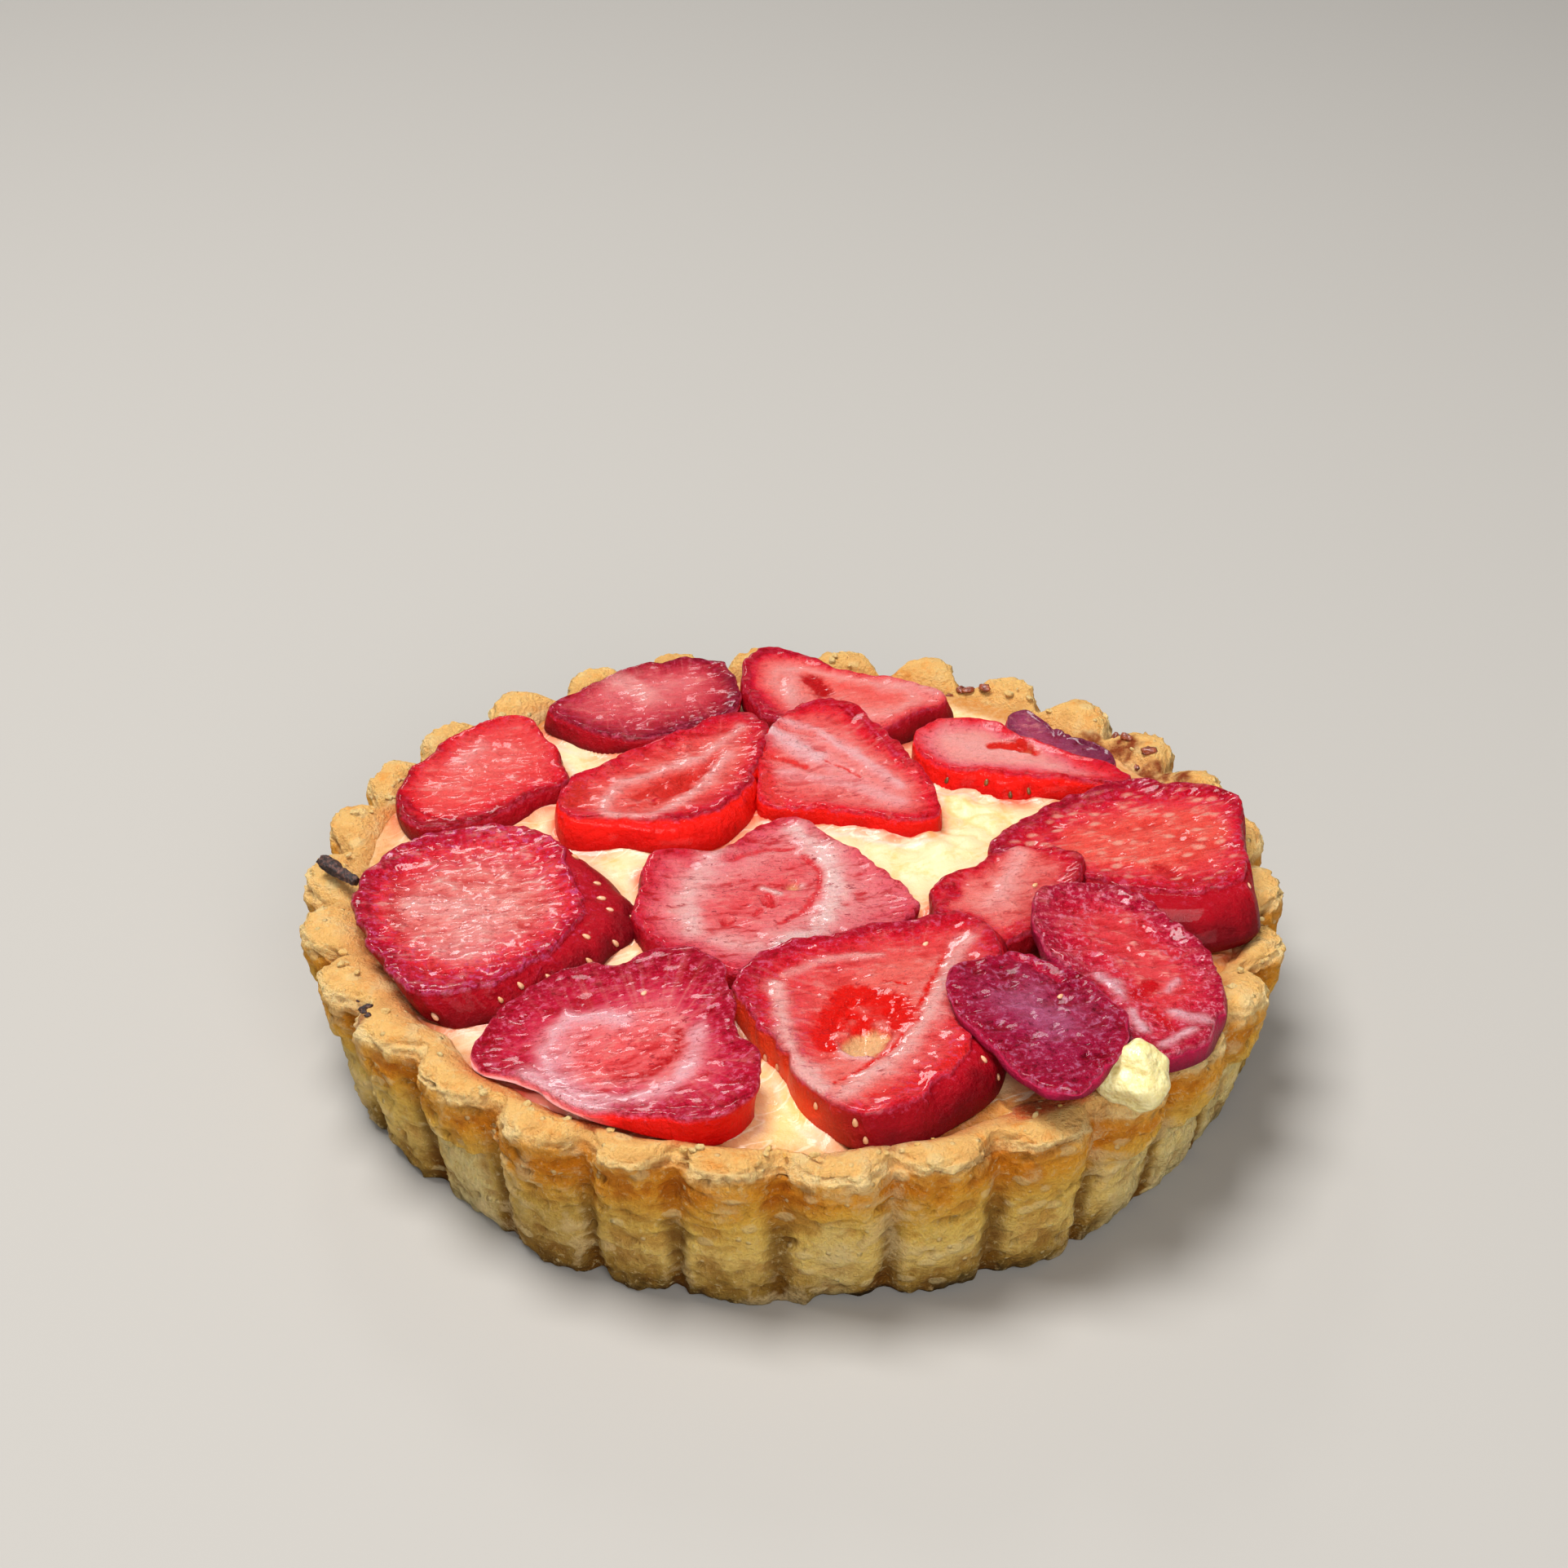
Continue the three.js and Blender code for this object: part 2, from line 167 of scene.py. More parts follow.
def ring_faces(rings: int, columns: int) -> list[tuple[int, ...]]:
    """Faces of a closed surface: a fan, quads between rings and a fan.

    Args:
        rings: The number of rings.
        columns: The number of points in each.

    Returns:
        Faces over the points [low centre, *rings, high centre].
    """
    faces: list[tuple[int, ...]] = []
    last = 1 + rings * columns
    for column in range(columns):
        after = (column + 1) % columns
        faces.append((0, 1 + after, 1 + column))
        for ring in range(rings - 1):
            low, high = 1 + ring * columns, 1 + (ring + 1) * columns
            faces.append((low + column, low + after, high + after, high + column))
        top = 1 + (rings - 1) * columns
        faces.append((top + column, top + after, last))
    return faces


@dataclass
class Surface:
    """Points in millimetres, the faces between them, and the fields that its finish reads."""

    points: np.ndarray
    faces: list[tuple[int, ...]]
    fields: dict[str, np.ndarray] = field(default_factory=dict)

    def piece(self, name: str, finish: Finish, body: str = "root") -> bpy.types.Object:
        """The surface as an object.

        Args:
            name: The object's name.
            finish: What it looks like.
            body: The body that it rides on.

        Returns:
            The object, dressed and riding.
        """
        mesh = bpy.data.meshes.new(name)
        mesh.from_pydata((self.points * MM).tolist(), [], self.faces)
        for label, values in self.fields.items():
            flat = values.ndim == 1
            kind, key = ("FLOAT", "value") if flat else ("FLOAT_VECTOR", "vector")
            mesh.attributes.new(label, kind, "POINT").data.foreach_set(key, values.astype(np.float32).ravel())
        mesh.polygons.foreach_set("use_smooth", [True] * len(mesh.polygons))
        mesh.materials.append(finish.material())
        made = bpy.data.objects.new(name, mesh)
        bpy.context.scene.collection.objects.link(made)
        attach(made, body)
        log.info("%s: %d faces", name, len(self.faces))
        return made


def joined(parts: list[Surface]) -> Surface:
    """Several surfaces as one, with the fields that they all have."""
    starts = np.cumsum([0, *(len(part.points) for part in parts[:-1])])
    faces = [tuple(k + start for k in face) for part, start in zip(parts, starts) for face in part.faces]
    labels = parts[0].fields.keys()
    fields = {label: np.concatenate([part.fields[label] for part in parts]) for label in labels}
    return Surface(np.concatenate([part.points for part in parts]), faces, fields)


def ball(rings: int, columns: int) -> Surface:
    """A sphere of radius 1."""
    tilt = math.pi * (np.arange(rings) + 1) / (rings + 1) - math.pi / 2
    turn = TAU * np.arange(columns) / columns
    flat = np.cos(tilt)[:, None]
    high = np.broadcast_to(np.sin(tilt)[:, None], (rings, columns))
    grid = np.stack([flat * np.cos(turn), flat * np.sin(turn), high], -1).reshape(-1, 3)
    return Surface(np.vstack([[0, 0, -1], grid, [0, 0, 1]]), ring_faces(rings, columns))


# ---------------------------------------------------------------- shader arithmetic


class Wire:
    """A socket's number, written in arithmetic."""

    def __init__(self, nodes: Nodes, socket: bpy.types.NodeSocket) -> None:
        """Holds the node tree's writer and the socket."""
        self.nodes = nodes
        self.socket = socket

    def _math(self, operation: str, *others: Wire | float) -> Wire:
        """This number and others through one Math node."""
        return self.nodes.add("ShaderNodeMath", {"operation": operation}, dict(enumerate((self, *others))))

    def __add__(self, other: Wire | float) -> Wire:
        """The sum."""
        return self._math("ADD", other)

    __radd__ = __add__

    def __mul__(self, other: Wire | float) -> Wire:
        """The product."""
        return self._math("MULTIPLY", other)

    __rmul__ = __mul__

    def __sub__(self, other: Wire | float) -> Wire:
        """This less the other."""
        return self._math("SUBTRACT", other)

    def __rsub__(self, other: float) -> Wire:
        """The other less this."""
        return self._math("MULTIPLY_ADD", -1.0, other)

    def __truediv__(self, other: Wire | float) -> Wire:
        """The quotient."""
        return self._math("DIVIDE", other)

    def size(self) -> Wire:
        """This without its sign."""
        return self._math("ABSOLUTE")

    def top(self, other: Wire | float) -> Wire:
        """The larger of the two."""
        return self._math("MAXIMUM", other)

    def step(self, low: float, high: float) -> Wire:
        """A soft step from 0 at low to 1 at high."""
        kind = {"interpolation_type": "SMOOTHSTEP"}
        return self.nodes.add("ShaderNodeMapRange", kind, {"Value": self, "From Min": low, "From Max": high})


def paint(code: str) -> tuple[float, float, float, float]:
    """The linear colour of a six-digit display colour."""
    shares = [int(code[k : k + 2], 16) / 255 for k in (0, 2, 4)]
    linear = [c / 12.92 if c <= 0.04045 else ((c + 0.055) / 1.055) ** 2.4 for c in shares]
    return (*linear, 1.0)


class Nodes:
    """Writes a material's nodes."""

    def __init__(self, tree: bpy.types.NodeTree) -> None:
        """Holds the tree that it writes in."""
        self.tree = tree

    def add(
        self, kind: str, settings: dict | None = None, inputs: dict | None = None, output: int | str = 0
    ) -> Wire:
        """A new node.

        Args:
            kind: The node's type.
            settings: Its properties, or "stops" for a ramp.
            inputs: Values or wires by socket name or number.
            output: The socket to return.

        Returns:
            The chosen output.
        """
        node = self.tree.nodes.new(kind)
        for key, value in (settings or {}).items():
            if key == "stops":
                self._set_stops(node.color_ramp, value)
            else:
                setattr(node, key, value)
        for key, value in (inputs or {}).items():
            socket = node.inputs[key]
            if isinstance(value, Wire):
                self.tree.links.new(value.socket, socket)
            else:
                socket.default_value = value
        return Wire(self, node.outputs[output])

    @staticmethod
    def _set_stops(ramp: bpy.types.ColorRamp, stops: tuple[tuple[float, str], ...]) -> None:
        """Gives a ramp its stops."""
        while len(ramp.elements) < len(stops):
            ramp.elements.new(1.0)
        for element, (position, code) in zip(ramp.elements, stops):
            element.position = position
            element.color = paint(code)

    def place(self) -> Wire:
        """The place on the piece, in millimetres."""
        where = self.add("ShaderNodeTexCoord", output="Object")
        return self.add("ShaderNodeVectorMath", {"operation": "SCALE"}, {0: where, "Scale": 1 / MM})

    def stretched(self, vector: Wire, scale: tuple[float, float, float], turn: float = 0.0) -> Wire:
        """A place turned about the vertical and scaled along each axis."""
        inputs = {"Vector": vector, "Rotation": (0.0, 0.0, turn), "Scale": scale}
        return self.add("ShaderNodeMapping", {"vector_type": "TEXTURE"}, inputs)

    def grain(self, vector: Wire, scale: float, detail: float = 2.0, rough: float = 0.5) -> Wire:
        """Noise about 0, from about -0.5 to 0.5."""
        inputs = {"Vector": vector, "Scale": scale, "Detail": detail, "Roughness": rough}
        return self.add("ShaderNodeTexNoise", {}, inputs) - 0.5

    def cells(self, vector: Wire, scale: float) -> Wire:
        """The distance to the nearest of many scattered points, in cells."""
        return self.add("ShaderNodeTexVoronoi", {}, {"Vector": vector, "Scale": scale})

    def number(self, name: str) -> Wire:
        """A field of the surface."""
        return self.add("ShaderNodeAttribute", {"attribute_name": name}, output="Fac")

    def vector(self, name: str) -> Wire:
        """A vector field of the surface."""
        return self.add("ShaderNodeAttribute", {"attribute_name": name}, output="Vector")

    def ramp(self, value: Wire, stops: tuple[tuple[float, str], ...]) -> Wire:
        """A colour for each value, through stops of position and colour."""
        return self.add("ShaderNodeValToRGB", {"stops": stops}, {"Fac": value})

    def mix(self, share: Wire | float, first: Wire | str, second: Wire | str, blend: str = "MIX") -> Wire:
        """The second colour over the first."""
        first, second = (paint(c) if isinstance(c, str) else c for c in (first, second))
        settings = {"data_type": "RGBA", "blend_type": blend}
        return self.add("ShaderNodeMix", settings, {0: share, 6: first, 7: second}, 2)

    def bump(self, height: Wire, depth: float) -> Wire:
        """A normal for a height from 0 to 1 that stands for a depth in millimetres."""
        inputs = {"Height": height, "Strength": 1.0, "Distance": depth * MM}
        return self.add("ShaderNodeBump", {}, inputs)


class Finish:
    """What a piece looks like. Each kind writes its own nodes in sockets()."""

    slot = ""

    def sockets(self, nodes: Nodes) -> dict[str, object]:
        """The shader's sockets by name, as values or wires."""
        raise NotImplementedError

    def material(self) -> bpy.types.Material:
        """A new material with this finish."""
        made = bpy.data.materials.new(type(self).__name__)
        made.use_nodes = True
        nodes = Nodes(made.node_tree)
        shader = made.node_tree.nodes["Principled BSDF"]
        for name, value in self.sockets(nodes).items():
            if isinstance(value, Wire):
                made.node_tree.links.new(value.socket, shader.inputs[name])
            else:
                shader.inputs[name].default_value = value
        return made


# ---------------------------------------------------------------- finishes


@dataclass(frozen=True)
class BakedCrust(Finish):
    """Shortcrust: golden on the rim, paler and greener below, porous and crumbly."""

    slot = "crust"
    # Colour up the wall by height: golden near the rim and paler below. The dark lowest stops are painted
    # shade at the foot, and the pale top stop is a painted highlight near the top edge.
    wall: tuple[tuple[float, str], ...] = (
        (0.0, "54401a"), (0.13, "b88e3e"), (0.3, "fed678"), (0.5, "fed064"), (0.66, "fabc48"),
        (0.78, "faa830"), (0.88, "ffb850"), (1.0, "ffd894"),
    )
    height: float = 18.0
    rim: str = "ffc676"
    rim_brown: str = "fba64c"
    # painted highlight colour along the rim's outer edge
    lip: str = "ffd894"
    # painted shade in the valleys and on the flutes' left sides: amber near the rim, brown-green lower down
    upper_crease_shade: str = "d07a10"
    crease: str = "7a4a06"
    scorch: str = "e08414"
    cream: str = "f2de9e"
    # painted shade in the pits, holes and cracks
    pore_shade: str = "865822"
    # painted highlight on the raised lumps
    lump_highlight: str = "f4d49a"
    # painted shade multiplied into the low grain and the low lumps
    low_shade: str = "b8823c"
    crumb: str = "fadc9c"
    stain: str = "e2955a"
    juice: str = "d84c24"
    jam: str = "94401e"

    def sockets(self, nodes: Nodes) -> dict[str, object]:
        """Colour by height and by the flutes, with blotches, pores and crumbs, painted shade in the valleys,
        pores and low grain, and painted highlights on the rim's edge and raised lumps.
        """
        place = nodes.place()
        height = nodes.add("ShaderNodeSeparateXYZ", {}, {0: place}, "Z") / self.height
        broad = nodes.grain(place, 0.22, 3)
        medium = nodes.grain(place, 0.9, 3)
        fine = nodes.grain(place, 3.2, 3)
        # The height ramp holds painted shade at the foot and a painted highlight near the top.
        colour = nodes.ramp(height + broad * 0.26 + medium * 0.14, self.wall)
        # Painted shade in the valleys and on one side of each flute: brown-green low down, amber near the
        # rim.
        crease = nodes.number("crease")
        low = 1 - (height + broad * 0.3).step(0.45, 0.72)
        colour = nodes.mix(crease * low * 0.82, colour, self.crease)
        colour = nodes.mix(crease * (1 - low) * 0.85, colour, self.upper_crease_shade)
        scorched = (height + medium * 0.2).step(0.64, 0.78) * (height + medium * 0.1).step(0.88, 0.79)
        colour = nodes.mix(scorched * (broad + crease * 0.22).step(0.04, 0.2) * 0.85, colour, self.scorch)
        colour = nodes.mix(nodes.number("cream") * (medium + 0.9).step(0.4, 1.1) * 0.8, colour, self.cream)
        top = nodes.mix((broad + medium).step(0.0, 0.45), self.rim, self.rim_brown)
        colour = nodes.mix(nodes.number("top"), colour, top)
        # Painted highlight along the rim's outer edge.
        colour = nodes.mix(nodes.number("lip") * (fine * 1.5 + 0.95), colour, self.lip)
        colour = nodes.mix(nodes.number("stain") * 0.55, colour, self.stain)
        colour = nodes.mix(nodes.number("soaked") * (fine * 0.8 + 0.85), colour, self.juice)
        # Raised grain turns lighter, partly pale crumbs and partly painted highlight; low grain gets painted
        # shade.
        crumbs = nodes.grain(place, 1.7, 5, 0.7)
        colour = nodes.mix(crumbs.step(0.04, 0.2) * 0.55, colour, self.crumb)
        plain = 1 - nodes.number("top") * 0.6
        colour = nodes.mix(crumbs.step(0.02, -0.28) * plain * 0.4, colour, self.low_shade, "MULTIPLY")
        # Painted highlight on the raised lumps and painted shade on the low ones.
        lift = nodes.number("lift") + fine * 0.8
        colour = nodes.mix(lift.step(0.15, 0.9) * 0.5, colour, self.lump_highlight)
        colour = nodes.mix(lift.step(0.1, -0.9) * plain * 0.5, colour, self.low_shade, "MULTIPLY")
        dots = nodes.cells(place, 0.5)
        colour = nodes.mix(dots.step(0.15, 0.09) * 0.6, colour, self.crumb)
        flakes = nodes.cells(nodes.stretched(place, (1.3, 1.3, 0.8)), 0.3) + fine * 0.15
        colour = nodes.mix(flakes.step(0.24, 0.16) * 0.45, colour, self.crumb)
        # Painted shade in the pits, holes and cracks of the wall.
        gaps = nodes.grain(nodes.stretched(place, (1.5, 1.5, 0.6)), 1.3, 4, 0.6)
        hollow = gaps.step(-0.18, -0.3) * (1 - nodes.number("top") * 0.88)
        hollow = hollow.top(nodes.number("pit") * 0.8)
        colour = nodes.mix(hollow * 0.65, colour, self.pore_shade)
        colour = nodes.mix(nodes.number("jam") * (medium * 2.0 + 0.9).step(0.1, 1.2), colour, self.jam)
        relief = crumbs + fine * 0.5 - hollow * 0.9
        relief = relief + dots.step(0.17, 0.05) * 0.5 + flakes.step(0.26, 0.12) * 0.4
        return {
            "Base Color": colour,
            "Roughness": 0.78,
            "Specular IOR Level": 0.12,
            "Subsurface Weight": 0.12,
            "Subsurface Radius": (1.0, 0.55, 0.25),
            "Subsurface Scale": 0.9 * MM,
            "Normal": nodes.bump(relief, 1.0),
        }


@dataclass(frozen=True)
class SetCustard(Finish):
    """Custard: pale yellow, moist, stained by the berries, with a glossy amber skin in places."""

    slot = "custard"
    body: str = "f0d4a4"
    warm: str = "ecc078"
    white: str = "f2dccc"
    juice: str = "dc4a30"
    amber: str = "e8b862"
    crusty: str = "cf8a3c"
    # painted sheen along thin lines where the custard is glossy
    fold_sheen: str = "fff0d4"
    fold_turn: float = 0.5

    def sockets(self, nodes: Nodes) -> dict[str, object]:
        """Colour by its stains, with fine wrinkles under a wet coat."""
        place = nodes.place()
        broad = nodes.grain(place, 0.3, 3)
        fine = nodes.grain(place, 1.4, 3)
        colour = nodes.mix((broad * 1.4 + fine).step(-0.05, 0.45), self.body, self.warm)
        # Amber skin and stains, with painted shade in the dips between the curds.
        colour = nodes.mix(nodes.number("amber"), colour, self.amber)
        # White: foam and pale glaze, with a painted highlight along the wet edges round the berries.
        colour = nodes.mix(nodes.number("white"), colour, self.white)
        colour = nodes.mix(nodes.number("baked") * (fine + 0.95), colour, self.crusty)
        juice = nodes.number("juice")
        colour = nodes.mix((juice + fine * 0.35 * juice) * 0.95, colour, self.juice)
        gloss = nodes.number("gloss")
        crumb = nodes.grain(place, 1.7, 5, 0.7) * nodes.number("baked") * 4
        # Painted sheen: thin pale lines, only where the custard is glossy.
        drawn_out = nodes.stretched(place, (4.5, 1.0, 1.0), self.fold_turn)
        folds = nodes.grain(drawn_out, 0.4, 2).size().step(0.03, 0.0)
        colour = nodes.mix(folds * gloss * 0.45, colour, self.fold_sheen)
        return {
            "Base Color": colour,
            "Roughness": 0.42 - gloss * 0.15 + fine * 0.1,
            "Specular IOR Level": 0.4,
            "Coat Weight": gloss * 0.3,
            "Coat Roughness": 0.08,
            "Subsurface Weight": 0.35,
            "Subsurface Radius": (1.0, 0.75, 0.4),
            "Subsurface Scale": 1.4 * MM,
            "Normal": nodes.bump(fine * 0.6 + nodes.grain(place, 4.5, 2) * 0.4 + crumb, 0.12),
        }


class Sight(Enum):
    """How a slice's skin is seen."""

    DARK = ("a60316", "6e010c")
    BRIGHT = ("e81408", "c80402")
    PURPLE = ("b01640", "7a0c2c")


@dataclass(frozen=True)
class CutStrawberry(Finish):
    """A cut berry: the face by its stops from heart to rim, and the wet skin of its side."""

    face: tuple[tuple[float, str], ...]
    sight: Sight = Sight.DARK
    toward: float = 0.0  # the direction in which the rim is darkest, in degrees
    bias: float = 0.0  # how much darker
    fibre: float = 0.5  # pale radial threads
    mottle: float = 0.5  # lighter grains in the rim
    dashes: float = 0.0  # pale dashes over the whole face
    crack: float = 0.6  # thin dark crease lines, and painted shade in the low parts of the wrinkles
    crack_turn: float = 10.0
    wet: float = 0.2
    hollow: str = "c81014"
    frost: str = "e6587c"
    thread: str = "fea298"
    shade: str = "d8505c"
    dusk: str = "c04a5c"
    gleam: str = "feaaa4"
    crease: str = "a40a22"
    crest: float = 0.5  # painted highlight on the wrinkles' crests
    grainy: float = 0.0  # how far the rim's grains reach in
    pith: str = "ffc088"
    end: str = ""  # the colour that the skin turns to on one side, lower down: juice and custard seen there, with a painted glow of light through the flesh
    slot: str = "strawberry"

    def sockets(self, nodes: Nodes) -> dict[str, object]:
        """The face's colour by its share from heart to rim, and the skin's by its depth."""
        place = nodes.place()
        side, pale, red = (nodes.number(name) for name in ("side", "pale", "red"))
        edge = nodes.number("share").top(nodes.number("dark"))
        broad = nodes.grain(place, 0.35, 2)
        medium = nodes.grain(place, 1.1, 3)
        speck = nodes.grain(place, 1.5, 5, 0.72)
        turn = math.radians(self.crack_turn)
        wrinkle = nodes.grain(nodes.stretched(place, (1.9, 0.65, 1.0), turn), 1.2, 5, 0.65)
        wrinkle_height = wrinkle * 1.6 + nodes.number("lift") * 0.25
        level = edge + broad * 0.24 + medium * 0.16 + wrinkle * 0.12 + nodes.number("crescent") * self.bias
        colour = nodes.ramp(level, self.face)
        rim = (edge + medium * 0.35 + self.grainy).step(0.5, 0.85) * (1 - pale * 0.8)
        window = edge.step(0.25, 0.6) * edge.step(1.02, 0.75)
        threads = nodes.grain(nodes.vector("fibre"), 9.0, 2).step(0.0, 0.3)
        colour = nodes.mix(threads * window * self.fibre * 0.6, colour, self.thread)
        # Painted light from the wrinkles' relief: a pale highlight on their crests and painted shade in their
        # low parts.
        colour = nodes.mix(wrinkle_height.step(0.02, 0.45) * (1 - rim * 0.7) * self.crest, colour, self.thread)
        colour = nodes.mix(wrinkle_height.step(0.0, -0.36) * self.crack, colour, self.shade, "MULTIPLY")
        colour = nodes.mix(pale * (wrinkle_height * 0.9 + 1.0), colour, self.gleam)
        torn = red * (speck * 2.4 + 1.0)
        colour = nodes.mix(torn.step(0.15, 0.75), colour, self.hollow)
        folds = nodes.grain(nodes.stretched(place, (2.6, 0.9, 1.0), turn), 0.6, 4, 0.6).size()
        creases = folds.step(0.022, 0.004) * (medium + speck).step(-0.05, 0.2)
        colour = nodes.mix(creases * self.crack, colour, self.crease)
        colour = nodes.mix(speck.step(0.03, 0.11) * rim * self.mottle, colour, self.frost)
        colour = nodes.mix(speck.step(-0.03, -0.16) * rim * 0.75, colour, self.dusk, "MULTIPLY")
        # A painted highlight: a thin pale line along the face's edge.
        colour = nodes.mix(edge.step(0.965, 0.995) * speck.step(-0.1, 0.06) * 0.45, colour, self.frost)
        if self.dashes:
            spots = nodes.cells(nodes.stretched(place, (1.5, 0.9, 1.0), 0.1), 0.62)
            dashes = spots.step(0.36, 0.12) * edge.step(0.95, 0.7) * self.dashes
            colour = nodes.mix(dashes, colour, self.thread)
        hole = nodes.mix(nodes.number("tone"), self.hollow, self.pith)
        colour = nodes.mix(nodes.number("hollow"), colour, hole)
        drop = nodes.number("drop")
        skin = nodes.mix((drop + broad).step(0.1, 0.9), self.sight.value[0], self.sight.value[1])
        # On one side the skin turns to its end colour lower down: juice and custard, with a painted glow of
        # light through the flesh.
        if self.end:
            skin = nodes.mix(nodes.number("bleed_and_glow"), skin, self.end)
        skin = nodes.mix(speck.step(0.05, 0.14) * drop.step(0.35, 0.0) * 0.3, skin, self.frost)
        colour = nodes.mix(side, colour, skin)
        rough = (medium * 0.25 + (0.42 - 0.24 * self.wet)) * (1 - side) + side * 0.4
        relief = (wrinkle * 1.2 + speck * 0.9 + medium * 0.4) * (1 - side)
        relief = relief + side * (medium * 0.5 + speck * 0.5)
        return {
            "Base Color": colour,
            "Roughness": rough - pale * 0.12,
            "Specular IOR Level": 0.09,
            "Coat Weight": side * 0.06 + (1 - side) * (self.wet * 0.4 + 0.12) + pale * 0.1,
            "Coat Roughness": 0.07,
            "Subsurface Weight": 0.14,
            "Subsurface Radius": (1.0, 0.2, 0.12),
            "Subsurface Scale": 0.8 * MM,
            "Normal": nodes.bump(relief, 0.9),
        }


@dataclass(frozen=True)
class Seed(Finish):
    """Strawberry seeds, from cream through yellow to green-brown."""

    slot = "seed"

    def sockets(self, nodes: Nodes) -> dict[str, object]:
        """Colour by each seed's own tone."""
        tones = ((0.0, "eab08c"), (0.4, "d08a4c"), (0.75, "8a5424"), (1.0, "4a2c12"))
        colour = nodes.ramp(nodes.number("tone"), tones)
        return {"Base Color": colour, "Roughness": 0.3, "Coat Weight": 0.3, "Specular IOR Level": 0.4}


@dataclass(frozen=True)
class BurntJam(Finish):
    """Dark jam baked onto the edge."""

    slot = "jam"

    def sockets(self, nodes: Nodes) -> dict[str, object]:
        """Brown-red with darker folds."""
        place = nodes.place()
        colour = nodes.mix(nodes.grain(place, 1.2, 3).step(-0.2, 0.3), "5a1a0c", "a8502a")
        return {"Base Color": colour, "Roughness": 0.3, "Coat Weight": 0.5,
                "Normal": nodes.bump(nodes.grain(place, 3.0, 3), 0.25)}


@dataclass(frozen=True)
class VanillaPod(Finish):
    """Dried vanilla pod: dark brown, matte and wrinkled along its length."""

    slot = "vanilla"

    def sockets(self, nodes: Nodes) -> dict[str, object]:
        """Nearly black in the folds and brown on the ridges."""
        place = nodes.place()
        colour = nodes.mix(nodes.grain(place, 2.5, 3).step(-0.1, 0.35), "241412", "7a4c3e")
        return {"Base Color": colour, "Roughness": 0.55,
                "Normal": nodes.bump(nodes.grain(place, 5.0, 3), 0.2)}


@dataclass(frozen=True)
class Cream(Finish):
    """Set cream: pale yellow and slightly translucent."""

    slot = "custard"

    def sockets(self, nodes: Nodes) -> dict[str, object]:
        """Cream with faint darker yellow-green patches of painted shade."""
        place = nodes.place()
        colour = nodes.mix(nodes.grain(place, 0.8, 3).step(-0.1, 0.35), "f0e2a6", "d6be6c")
        return {"Base Color": colour, "Roughness": 0.35, "Coat Weight": 0.25, "Subsurface Weight": 0.4,
                "Subsurface Radius": (1.0, 0.8, 0.4), "Subsurface Scale": 1.5 * MM,
                "Normal": nodes.bump(nodes.grain(place, 1.6, 3), 0.35)}


@dataclass(frozen=True)
class PaleFloor(Finish):
    """The studio's plain floor."""

    def sockets(self, nodes: Nodes) -> dict[str, object]:
        """One pale matte tone."""
        return {"Base Color": paint("aca8a2"), "Roughness": 0.9, "Specular IOR Level": 0.1}


# ---------------------------------------------------------------- the crust


@dataclass(frozen=True)
class Place:
    """Something at an angle round the case, with its half width in degrees and its depth."""

    at: float
    width: float
    depth: float


def set_in(places: tuple[Place, ...], angle: np.ndarray) -> np.ndarray:
    """The sum at each angle of what the places set in."""
    total = np.zeros_like(angle)
    for place in places:
        away = (angle - math.radians(place.at) + 2.5 * TAU) % TAU - math.pi
        total += place.depth * np.exp(-((away / math.radians(place.width)) ** 2))
    return total


